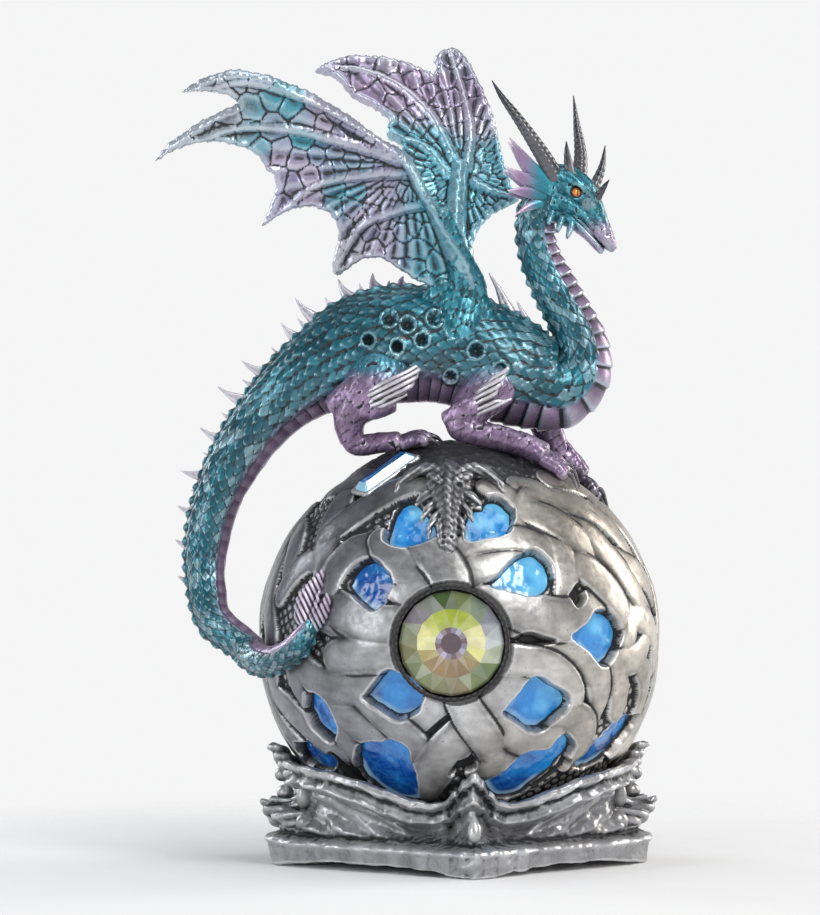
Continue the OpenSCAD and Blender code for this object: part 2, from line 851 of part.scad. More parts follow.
module near_wing() {
  color("mediumturquoise")
    difference() {
      union() {
        wing(NEAR_WING, near_lean, -1);
        over_crown() {
          for (f = NEAR_FINGERS)
            finger(f, near_lean, -1, 2);
          finger([[2.4, 3.4], [-4, 17], [-12, 30]], near_lean, -1, 2.8);
        }
      }
      wing_pin(-1);
    }
}

module far_wing() {
  color("cadetblue")
    difference() {
      union() {
        wing(FAR_WING, far_lean, 1);
        over_crown() {
          for (f = FAR_FINGERS)
            finger(f, far_lean, 1, 2);
          finger([[1, 3.4], [-1, 16], [0, 30]], far_lean, 1, 2.8);
        }
      }
      wing_pin(1);
    }
}

// a steel pin carries each wing on the torso
module wing_pin(side) {
  over_crown()
    translate([1, side * root_y, root_z])
      rotate([90 - side * (side > 0 ? far_lean : near_lean), 0, 0])
        rotate([-90, 0, 0])
          translate([0, 0, -2.6])
            cylinder(r = 0.9, h = 10);
}

module wing_pins() {
  color("lightgray")
    for (s = [-1, 1])
      wing_pin(s);
}

// legs: rows from the torso's flat side through knee and ankle to the foot
module leg(rows) {
  difference() {
    over_crown()
      sweep(rows, 14, [1, 0, 0]);
    orb_ball(orb_r);
    bar_room();
    over_crown()
      translate([-60, -torso_flat, -40])
        cube([120, 2 * torso_flat, 100]);
  }
}

function leg_row(x, out, up, r, side) = [x, side * (torso_flat + out), up, r, r];
function hind(s) = [
  [-20, s * (torso_flat - 2), 15.4, 7, 7], leg_row(-19.4, 2.4, 15, 6.8, s), leg_row(-18, 6.6, 12, 6, s),
  leg_row(-19.4, 6.6, 6.4, 4.6, s), leg_row(-21.8, 6.2, 1.6, 4, s), leg_row(-20.4, 6, -2.4, 3.8, s),
  leg_row(-15.4, 6, -3.4, 3.6, s), leg_row(-9.4, 6.2, -2.2, 3, s)];
function fore(s, x, fall) = [
  [x + 3, s * (torso_flat - 2), 12, 5.4, 5.4], leg_row(x + 2.6, 2, 11.6, 5.2, s),
  leg_row(x + 1.4, 5.4, 8.4, 4.8, s), leg_row(x, 5.6, 3.6, 4, s),
  leg_row(x + 4, 6, 0.6 + fall / 5, 3.6, s), leg_row(x + 9.4, 6.4, -1.6 + fall / 3, 3.6, s),
  leg_row(x + 14.6, 6.8, -4.6 + fall * 0.7, 3.6, s), leg_row(x + 19, 7, -8 + fall, 2.8, s)];
NEAR_HIND = hind(-1);
FAR_HIND = hind(1);
NEAR_FORE = fore(-1, 2, 0.6);
FAR_FORE = fore(1, 12, -5);

module near_hind_leg() {
  color("mediumpurple")
    leg(NEAR_HIND);
}

module far_hind_leg() {
  color("mediumpurple")
    leg(FAR_HIND);
}

module near_foreleg() {
  color("mediumpurple")
    leg(NEAR_FORE);
}

module far_foreleg() {
  color("mediumpurple")
    leg(FAR_FORE);
}

module leg_spurs() {
  color("silver")
    over_crown() {
      sweep([
        [-21, -18.6, 14.4, 1, 1.2], [-16.6, -19.6, 14.8, 1.8, 2.6], [-12, -18.8, 16.6, 1.4, 2],
        [-9, -17.6, 20, 0.4, 0.5]], 10);
      spike([5, -15.4, 8.6], [11.6, -17.4, 17], 2.2);
    }
}

// three claws on each paw, their tips on the orb's skin
module paw_claws(x, y, lean_x, spread) {
  for (i = [-1, 0, 1]) {
    px = x - abs(i) * 1.2;
    py = y + i * spread;
    qx = px + lean_x;
    spike([px, py, under(px, py) + 1.7], [qx, py, under(qx, py) + 0.6], 1);
  }
}

module dragon_claws() {
  color("dimgray")
    difference() {
      over_crown() {
        paw_claws(-8.2, -13.6, 4, 2.3);
        paw_claws(-8.2, 13.6, 4, 2.3);
        paw_claws(21.6, -14.4, 3.2, 2.3);
        paw_claws(31.4, 14.4, 2.4, 2.3);
      }
      orb_ball(orb_r);
    }
}

orb_shell();
light_globe();
crystal_bezel();
crystal();
bar_gem();
bar_gem_seat();
mask_relief();
mask_horns();
base_casting();
base_rims();
arm_scrolls();
side_beads();
almond_beads();
puck_case();
puck_lid();
led_board();
led();
button_cells();
cell_contacts();
switch_body();
switch_knob();
battery_door();
lid_screws();
dragon_torso();
dragon_neck();
dragon_head();
long_horns();
small_horns();
ear_frills();
dragon_eyes();
back_spikes();
tail_root();
tail_sweep();
tail_end();
tail_fin();
near_wing();
far_wing();
wing_pins();
near_hind_leg();
far_hind_leg();
near_foreleg();
far_foreleg();
leg_spurs();
dragon_claws();
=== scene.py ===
import math
import bpy
import numpy as np
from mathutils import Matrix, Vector, geometry, kdtree


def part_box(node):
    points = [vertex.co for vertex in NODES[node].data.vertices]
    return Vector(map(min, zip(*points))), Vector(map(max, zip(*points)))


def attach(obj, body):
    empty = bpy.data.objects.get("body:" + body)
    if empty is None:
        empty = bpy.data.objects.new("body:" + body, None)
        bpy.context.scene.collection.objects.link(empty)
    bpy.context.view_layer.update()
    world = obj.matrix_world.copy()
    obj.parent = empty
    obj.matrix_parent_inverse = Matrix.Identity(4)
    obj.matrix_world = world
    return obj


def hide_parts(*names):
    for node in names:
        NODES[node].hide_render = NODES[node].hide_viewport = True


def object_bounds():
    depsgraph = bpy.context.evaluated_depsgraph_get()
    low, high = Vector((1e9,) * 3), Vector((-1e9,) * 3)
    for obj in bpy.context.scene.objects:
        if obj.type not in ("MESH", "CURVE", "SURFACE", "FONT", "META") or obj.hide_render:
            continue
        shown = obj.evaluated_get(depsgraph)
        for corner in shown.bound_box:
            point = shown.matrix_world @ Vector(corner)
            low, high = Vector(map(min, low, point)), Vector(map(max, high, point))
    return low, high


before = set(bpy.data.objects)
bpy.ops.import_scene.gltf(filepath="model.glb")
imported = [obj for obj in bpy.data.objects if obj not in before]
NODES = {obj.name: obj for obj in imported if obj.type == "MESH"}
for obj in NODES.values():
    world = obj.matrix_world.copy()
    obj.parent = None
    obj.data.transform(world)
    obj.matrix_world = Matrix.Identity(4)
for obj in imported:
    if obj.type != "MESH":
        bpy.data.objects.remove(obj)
cad_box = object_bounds()
MM = 0.001
shell_lo, shell_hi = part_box("orb_shell")
R = (shell_hi.x - shell_lo.x) / 2 / MM                # the orb's outside radius, mm
OC = np.array([0, 0, shell_hi.z / MM - R])            # its centre
CROWN = shell_hi.z / MM
FIG = (cad_box[1].z / MM - CROWN) / 97.0              # the dragon's size against its drawn 97 mm


# ---------------------------------------------------------------- numbers and noise
def unit(v):
    return v / np.maximum(np.linalg.norm(v, axis=-1, keepdims=True), 1e-9)


def step(a, b, x):
    t = np.clip((x - a) / (b - a), 0, 1)
    return t * t * (3 - 2 * t)


def mix(a, b, t):
    t = np.asarray(t)[..., None]
    return np.asarray(a, float) * (1 - t) + np.asarray(b, float) * t


def hash01(*ints):
    n = np.zeros(np.broadcast(*ints).shape, np.int64)
    for k, m in zip(ints, (73856093, 19349663, 83492791, 2654435761)):
        n = n ^ (np.asarray(k, np.int64) * m)
    n = (n ^ (n >> 13)) * 1274126177
    return ((n >> 7) & 0xFFFF) / 65535.0


def noise(p, size, seed=0):
    q = p / size + 31.7
    i = np.floor(q).astype(np.int64)
    f = q - i
    f = f * f * (3 - 2 * f)
    out = 0
    for a in (0, 1):
        for b in (0, 1):
            for c in (0, 1):
                w = (f[:, 0] if a else 1 - f[:, 0]) * (f[:, 1] if b else 1
                                                       - f[:, 1]) * (f[:, 2] if c else 1 - f[:, 2])
                out = out + w * hash01(i[:, 0] + a, i[:, 1] + b, i[:, 2] + c, seed + 5)
    return out * 2 - 1


def fbm(p, size, seed=0, octaves=3):
    return sum(noise(p, size / 2 ** k, seed + k) / 2 ** k for k in range(octaves))


# ---------------------------------------------------------------- meshes
def spread(V, F, iters):
    """Positions smoothed over neighbours: how creases and edges are found."""
    k = F.shape[1]
    a = F.ravel()
    b = np.roll(F, -1, axis=1).ravel()
    n = len(V)
    deg = np.maximum(np.bincount(a, minlength=n) + np.bincount(b, minlength=n), 1)
    S = V.copy()
    for _ in range(iters):
        T = np.empty_like(S)
        for c in range(3):
            T[:, c] = np.bincount(a, S[b, c], n) + np.bincount(b, S[a, c], n)
        S = 0.4 * S + 0.6 * T / deg[:, None]
    return S


def normals(V, F):
    k = F.shape[1]
    d1 = V[F[:, 2]] - V[F[:, 0]]
    d2 = V[F[:, 3 if k == 4 else 1]] - V[F[:, 1 if k == 4 else 0]]
    fn = np.cross(d1, d2) if k == 4 else np.cross(V[F[:, 1]] - V[F[:, 0]], V[F[:, 2]] - V[F[:, 0]])
    N = np.zeros_like(V)
    for c in range(3):
        N[:, c] = np.bincount(F.ravel(), np.repeat(fn[:, c], k), len(V))
    return unit(N)


def crease(V, F, iters=5, scale=0.1):
    """0 on a sharp edge, 0.5 on plain skin, 1 in a crease."""
    N = normals(V, F)
    d = ((spread(V, F, iters) - V) * N).sum(1)
    return np.clip(0.5 + d / scale * 0.5, 0, 1)


def build(name, V, F, paint, cav, mat, nodes=(), smooth=True, body="figure"):
    """One piece from vertices in mm, faces, a colour and a crease value at each vertex."""
    me = bpy.data.meshes.new(name)
    k = F.shape[1]
    me.vertices.add(len(V))
    me.vertices.foreach_set("co", (np.asarray(V, np.float32) * MM).ravel())
    me.loops.add(F.size)
    me.loops.foreach_set("vertex_index", F.astype(np.int32).ravel())
    me.polygons.add(len(F))
    me.polygons.foreach_set("loop_start", np.arange(len(F), dtype=np.int32) * k)
    me.polygons.foreach_set("use_smooth", np.full(len(F), smooth))
    rgba = np.ones((len(V), 4), np.float32)
    rgba[:, :3] = np.clip(paint, 0, 1)
    me.attributes.new("paint", "FLOAT_COLOR", "POINT").data.foreach_set("color", rgba.ravel())
    me.attributes.new("cav", "FLOAT", "POINT").data.foreach_set("value",
            np.asarray(np.broadcast_to(cav, len(V)), np.float32).copy())
    me.update(calc_edges=True)
    me.validate()
    me.materials.append(mat)
    o = bpy.data.objects.new(name, me)
    bpy.context.scene.collection.objects.link(o)
    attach(o, body)
    if nodes:
        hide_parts(*nodes)
    return o


def join(parts):
    """Several (V, F) as one."""
    Vs, Fs, n = [], [], 0
    for V, F in parts:
        Vs.append(V)
        Fs.append(F + n)
        n += len(V)
    return np.vstack(Vs), np.vstack(Fs)


def fused(parts, voxel, relax=2):
    """Closed shapes grown together into one skin: (V, F) of quads."""
    V, F = join(parts)
    me = bpy.data.meshes.new("tmp")
    me.from_pydata((V * MM).tolist(), [], F.tolist())
    o = bpy.data.objects.new("tmp", me)
    bpy.context.scene.collection.objects.link(o)
    m = o.modifiers.new("r", "REMESH")
    m.mode = "VOXEL"
    m.voxel_size = voxel * MM
    got = o.evaluated_get(bpy.context.evaluated_depsgraph_get()).to_mesh()
    V = np.zeros(len(got.vertices) * 3)
    got.vertices.foreach_get("co", V)
    F = np.zeros(len(got.loops), np.int32)
    got.loops.foreach_get("vertex_index", F)
    V, F = V.reshape(-1, 3) / MM, F.reshape(-1, 4)
    bpy.data.objects.remove(o)
    bpy.data.meshes.remove(me)
    return spread(V, F, relax), F


def curve(rows, gap):
    """Rows of x, y, z and more, made into a smooth curve with points about gap mm apart."""
    P = np.asarray(rows, float)
    E = np.vstack([2 * P[0] - P[1], P, 2 * P[-1] - P[-2]])
    out = []
    for i in range(1, len(E) - 2):
        a, b, c, d = E[i - 1], E[i], E[i + 1], E[i + 2]
        n = max(2, int(np.linalg.norm(c[:3] - b[:3]) / gap))
        for t in np.arange(n)[:, None] / n:
            out.append(0.5 * (2 * b + (c - a) * t + (2 * a - 5 * b + 4 * c - d) * t ** 2 + (3 * b - a - 3
                    * c + d) * t ** 3))
    out.append(P[-1])
    return np.array(out)


def frames(P, side=(0, 1, 0)):
    """Tangent, side and third vectors along a path: the side is held, or carried where the path turns to it."""
    T = unit(np.gradient(P[:, :3], axis=0))
    q = np.array(side, float)
    if np.abs(T @ q).max() < 0.965:
        Q = unit(q - (T @ q)[:, None] * T)
        return T, Q, np.cross(Q, T)
    Q = np.zeros_like(T)
    for i, t in enumerate(T):
        q = unit(q - (q @ t) * t)
        Q[i] = q
    return T, Q, np.cross(Q, T)


def tube(rows, gap=0.4, n=24, side=(0, 1, 0), caps=True):
    """A swept skin: V, F and each vertex's path length, angle, outward direction and heading.

    Rows: x, y, z, radius along side, radius across it.
    """
    P = curve(rows, gap)
    T, Q, B = frames(P, side)
    s = np.concatenate([[0], np.cumsum(np.linalg.norm(np.diff(P[:, :3], axis=0), axis=1))])
    th = np.arange(n) * 2 * math.pi / n
    ca, sa = np.cos(th), np.sin(th)
    ra, rb = np.maximum(P[:, 3], 0.02), np.maximum(P[:, 4], 0.02)
    V = P[:, None, :3] + (ra[:, None] * ca)[..., None] * Q[:, None] + (rb[:, None] * sa)[..., None] * B[:,
            None]
    O = unit((ca / ra[:, None])[..., None] * Q[:, None] + (sa / rb[:, None])[..., None] * B[:, None])
    m = len(P)
    i, j = np.meshgrid(np.arange(m - 1), np.arange(n), indexing="ij")
    a, b = (i * n + j).ravel(), (i * n + (j + 1) % n).ravel()
    F = np.stack([a, a + n, b + n, b], 1)
    V, O = V.reshape(-1, 3), O.reshape(-1, 3)
    if caps:
        c0, c1 = m * n, m * n + 1
        V = np.vstack([V, P[0, :3] - T[0] * min(ra[0], rb[0]) * 0.5,
                       P[-1, :3] + T[-1] * min(ra[-1], rb[-1]) * 0.5])
        O = np.vstack([O, -T[0], T[-1]])
        jj = np.arange(0, n, 2)
        e = (m - 1) * n
        F = np.vstack([F, np.stack([np.full(len(jj), c0), jj, jj + 1, (jj + 2) % n], 1),
                       np.stack([np.full(len(jj), c1), e + (jj + 2) % n, e + jj + 1, e + jj], 1)])
    S = np.concatenate([np.repeat(s, n), [0, s[-1]]] if caps else [np.repeat(s, n)])
    TH = np.concatenate([np.tile(th, m), [0, 0]] if caps else [np.tile(th, m)])
    H = np.vstack([np.repeat(T, n, 0), T[:1], T[-1:]] if caps else [np.repeat(T, n, 0)])
    RR = np.concatenate([np.repeat((ra + rb) / 2, n), ra[:1],
                         ra[-1:]] if caps else [np.repeat((ra + rb) / 2, n)])
    return {"V": V, "F": F, "s": S, "th": TH, "O": O, "T": H, "r": RR}


def ball(c, r, n=24, stretch=(1, 1, 1)):
    """A round skin of quads, to be fused or shaped."""
    m = n // 2
    th, ph = np.arange(n) * 2 * math.pi / n, (np.arange(m) + 0.5) * math.pi / m
    V = np.stack([np.outer(np.sin(ph), np.cos(th)), np.outer(np.sin(ph), np.sin(th)),
                  np.outer(np.cos(ph), np.ones(n))], -1).reshape(-1, 3)
    V = np.vstack([V, [0, 0, 1], [0, 0, -1]])
    i, j = np.meshgrid(np.arange(m - 1), np.arange(n), indexing="ij")
    a, b = (i * n + j).ravel(), (i * n + (j + 1) % n).ravel()
    jj = np.arange(0, n, 2)
    e = (m - 1) * n
    F = np.vstack([np.stack([a, a + n, b + n, b], 1),
                   np.stack([np.full(len(jj), m * n), jj, jj + 1, (jj + 2) % n], 1),
                   np.stack([np.full(len(jj), m * n + 1), e + (jj + 2) % n, e + jj + 1, e + jj], 1)])
    return V * np.array(stretch) * r + np.array(c, float), F


def near(points, seeds, k):
    """Indices of the k nearest seeds to each point."""
    tree = kdtree.KDTree(len(seeds))
    for i, s in enumerate(seeds):
        tree.insert(s, i)
    tree.balance()
    find = tree.find_n
    return np.array([[h[1] for h in find(p, k)] for p in points])


def scales(V, O, seeds, tips, w, ln, k=7, lift=0.5, keel=0.25):
    """Height and shade of overlapping scales at seeds, pointing along tips, with half sizes w and ln."""
    idx = near(V, seeds, k)
    d = V[:, None] - seeds[idx]
    t = tips[idx]
    t = unit(t - (t * O[:, None]).sum(2, keepdims=True) * O[:, None])
    b = np.cross(O[:, None], t)
    u = (d * t).sum(2) / ln[idx]
    v = np.abs((d * b).sum(2)) / w[idx]
    wide = np.where(u < 0, np.sqrt(np.clip(1 - u * u, 0, 1)), np.clip(1 - np.clip(u, 0, 1.2) ** 1.7, 0, 1))
    inside = (v < wide) & (np.abs(u) < 1)
    edge = np.where(inside, np.minimum(1 - v / np.maximum(wide, 0.05), 1), 0)
    h = np.where(inside, lift * (0.35 + 0.65 * (u + 1) / 2) + keel * np.sqrt(edge), -0.2)
    top = h.argmax(1)
    r = np.arange(len(V))
    return h[r, top], edge[r, top], u[r, top], idx[r, top]


def cells(V, seeds, k=2):
    """Distance to a cell's border, and the cell."""
    idx = near(V, seeds, k)
    d = np.linalg.norm(V[:, None] - seeds[idx], axis=2)
    return d[:, 1] - d[:, 0], idx[:, 0]


# ---------------------------------------------------------------- materials
def node(nt, kind, **values):
    n = nt.nodes.new(kind)
    for k, v in values.items():
        if hasattr(n, k):
            setattr(n, k, v)
        else:
            n.inputs[k.replace("_", " ")].default_value = v
    return n


def ramp(nt, value, a, b, lo=0.0, hi=1.0):
    n = node(nt, "ShaderNodeMapRange")
    nt.links.new(value, n.inputs["Value"])
    for k, v in (("From Min", a), ("From Max", b), ("To Min", lo), ("To Max", hi)):
        n.inputs[k].default_value = v
    return n.outputs["Result"]


def maths(nt, op, a, b):
    n = node(nt, "ShaderNodeMath", operation=op)
    for s, v in zip(n.inputs, (a, b)):
        if isinstance(v, (int, float)):
            s.default_value = v
        else:
            nt.links.new(v, s)
    return n.outputs[0]


def blendc(nt, fac, a, b, mode="MIX"):
    n = node(nt, "ShaderNodeMix", data_type="RGBA", blend_type=mode)
    for i, v in ((0, fac), (6, a), (7, b)):
        if isinstance(v, tuple):
            n.inputs[i].default_value = (*v, 1)
        elif isinstance(v, (int, float)):
            n.inputs[i].default_value = v
        else:
            nt.links.new(v, n.inputs[i])
    return n.outputs[2]


def coat(name, base=None, metallic=0.6, rough=0.36, shade_and_dirt=(0.018, 0.019, 0.022), edge_highlight=(0.8, 0.82, 0.85),
         crease_shade_at=(0.56, 0.8),
         edge_highlight_at=(0.42, 0.22), edge_highlight_amount=0.8, mottling=0.3, grain=900, bump=0.12, clear=0.15,
         dirt=0.35):
    """Painted or plated skin, with painted shade in creases and painted highlights on raised edges, dark
    specks, mottling and grain.

    The colour comes from the paint attribute, or from base where one is given; with a base there is no painted
    shade or highlight, only broad dark mottling and specks.
    """
    m = bpy.data.materials.new(name)
    m.use_nodes = True
    nt = m.node_tree
    link = nt.links.new
    bsdf = nt.nodes["Principled BSDF"]
    co = node(nt, "ShaderNodeTexCoord").outputs["Object"]
    broad = node(nt, "ShaderNodeTexNoise", Scale=140, Detail=5, Roughness=0.6)
    fine = node(nt, "ShaderNodeTexNoise", Scale=grain, Detail=4, Roughness=0.65)
    specks = node(nt, "ShaderNodeTexVoronoi", Scale=grain * 0.8)
    for t in (broad, fine, specks):
        link(co, t.inputs["Vector"])
    if base is None:
        colour = node(nt, "ShaderNodeAttribute", attribute_name="paint").outputs["Color"]
        cav = node(nt, "ShaderNodeAttribute", attribute_name="cav").outputs["Fac"]
    else:
        colour, cav = base, 0.5
    tone = ramp(nt, broad.outputs[0], 0.3, 0.7, 1 - mottling, 1 + mottling * 0.5)
    grey = node(nt, "ShaderNodeCombineColor")
    for s in grey.inputs:
        link(tone, s)
    colour = blendc(nt, 1.0, colour, grey.outputs[0], "MULTIPLY")
    # fine noise jitters the crease value that places the painted highlights and painted shade
    level_noise = maths(nt, "MULTIPLY_ADD", fine.outputs[0], 0.22)
    level_noise.node.inputs[2].default_value = -0.11
    if base is None:
        level = maths(nt, "ADD", cav, level_noise)
        # painted highlight on raised edges, where the crease value is low
        high = maths(nt, "MULTIPLY", ramp(nt, level, *edge_highlight_at),
                     ramp(nt, broad.outputs[0], 0.3, 0.6, edge_highlight_amount * 0.45, edge_highlight_amount))
        colour = blendc(nt, high, colour, edge_highlight)
        # painted shade in creases, where the crease value is high
        low = ramp(nt, level, *crease_shade_at)
    else:
        low = ramp(nt, broad.outputs[0], 0.62, 0.85, 0.0, 0.3)
    spots = maths(nt, "MULTIPLY", ramp(nt, specks.outputs["Distance"], 0.22, 0.08),
                  ramp(nt, broad.outputs[0], 0.5, 0.66, 0, dirt))
    low = maths(nt, "MAXIMUM", low, spots)
    # one dark colour carries the painted shade in creases and the dark mottling and specks of dirt
    colour = blendc(nt, low, colour, shade_and_dirt)
    link(colour, bsdf.inputs["Base Color"])
    link(ramp(nt, low, 0, 1, metallic, metallic * 0.25), bsdf.inputs["Metallic"])
    r = maths(nt, "ADD", ramp(nt, fine.outputs[0], 0.3, 0.7, rough - 0.08, rough + 0.12),
              maths(nt, "MULTIPLY", low, 0.25))
    link(r, bsdf.inputs["Roughness"])
    b = node(nt, "ShaderNodeBump", Strength=bump, Distance=0.0002)
    link(fine.outputs[0], b.inputs["Height"])
    link(b.outputs[0], bsdf.inputs["Normal"])
    bsdf.inputs["Coat Weight"].default_value = clear
    bsdf.inputs["Coat Roughness"].default_value = 0.22
    return m


# each coat paints shade into creases and highlights onto raised edges from a piece's crease value
SILVER = coat("antique_silver", metallic=0.74, rough=0.34, edge_highlight=(0.8, 0.81, 0.82), edge_highlight_amount=0.6,
              mottling=0.4, crease_shade_at=(0.525, 0.68), dirt=0.75)
SCALES = coat("scale_paint", metallic=0.5, rough=0.3, edge_highlight=(0.42, 0.66, 0.72), edge_highlight_amount=0.55,
              shade_and_dirt=(0.003, 0.012, 0.018),
              crease_shade_at=(0.51, 0.66), mottling=0.32, clear=0.4)
SKIN = coat("skin_paint", metallic=0.5, rough=0.3, edge_highlight=(0.78, 0.74, 0.82), edge_highlight_amount=0.75,
            shade_and_dirt=(0.014, 0.013, 0.02),
            crease_shade_at=(0.52, 0.7), mottling=0.32, clear=0.35)
WING = coat("wing_paint", metallic=0.55, rough=0.28, edge_highlight=(0.7, 0.78, 0.84), edge_highlight_amount=0.38,
            shade_and_dirt=(0.012, 0.018, 0.026),
            crease_shade_at=(0.55, 0.75), mottling=0.22, clear=0.5)
HORN = coat("horn_paint", metallic=0.55, rough=0.28, edge_highlight=(0.3, 0.3, 0.33), edge_highlight_amount=0.4,
            shade_and_dirt=(0.008, 0.008, 0.01), mottling=0.3)


def lit_window():
    """Tinted acrylic lit from behind: deep blue to pale cyan, with a soft glow."""
    m = bpy.data.materials.new("lit_window")
    m.use_nodes = True
    nt = m.node_tree
    link = nt.links.new
    bsdf = nt.nodes["Principled BSDF"]
    c = node(nt, "ShaderNodeAttribute", attribute_name="paint").outputs["Color"]
    g = node(nt, "ShaderNodeAttribute", attribute_name="cav").outputs["Fac"]
    co = node(nt, "ShaderNodeTexCoord").outputs["Object"]
    n = node(nt, "ShaderNodeTexNoise", Scale=420, Detail=4, Distortion=1.2)
    link(co, n.inputs["Vector"])
    c = blendc(nt, ramp(nt, n.outputs[0], 0.4, 0.76, 0, 0.3), c, (0.06, 0.36, 0.75), "SCREEN")
    c = blendc(nt, maths(nt, "MULTIPLY", g, 0.6), c, (0.5, 0.8, 0.95))
    link(c, bsdf.inputs["Base Color"])
    link(c, bsdf.inputs["Emission Color"])
    bsdf.inputs["Emission Strength"].default_value = 0.2
    bsdf.inputs["Roughness"].default_value = 0.12
    bsdf.inputs["Coat Weight"].default_value = 0.8
    bsdf.inputs["Coat Roughness"].default_value = 0.05
    b = node(nt, "ShaderNodeBump", Strength=0.35, Distance=0.0004)
    link(n.outputs[0], b.inputs["Height"])
    link(b.outputs[0], bsdf.inputs["Normal"])
    return m


def gem(name, metallic=0.35, rough=0.06):
    """Foiled glass: each facet keeps its own colour from the paint attribute."""
    m = bpy.data.materials.new(name)
    m.use_nodes = True
    nt = m.node_tree
    bsdf = nt.nodes["Principled BSDF"]
    c = node(nt, "ShaderNodeAttribute", attribute_name="paint").outputs["Color"]
    co = node(nt, "ShaderNodeTexCoord").outputs["Object"]
    n = node(nt, "ShaderNodeTexNoise", Scale=300, Detail=3)
    nt.links.new(co, n.inputs["Vector"])
    c = blendc(nt, ramp(nt, n.outputs[0], 0.35, 0.65, 0.0, 0.25), c, (0.02, 0.02, 0.02))
    nt.links.new(c, bsdf.inputs["Base Color"])
    nt.links.new(ramp(nt, n.outputs[0], 0.3, 0.7, rough, rough + 0.05), bsdf.inputs["Roughness"])
    bsdf.inputs["Metallic"].default_value = metallic
    bsdf.inputs["Coat Weight"].default_value = 1.0
    bsdf.inputs["Coat Roughness"].default_value = 0.02
    return m


# ---------------------------------------------------------------- the orb
def on_ball(lon, lat):
    lon, lat = np.radians(lon), np.radians(lat)
    return np.stack([np.cos(lat) * np.sin(lon), -np.cos(lat) * np.cos(lon), np.sin(lat)], -1)


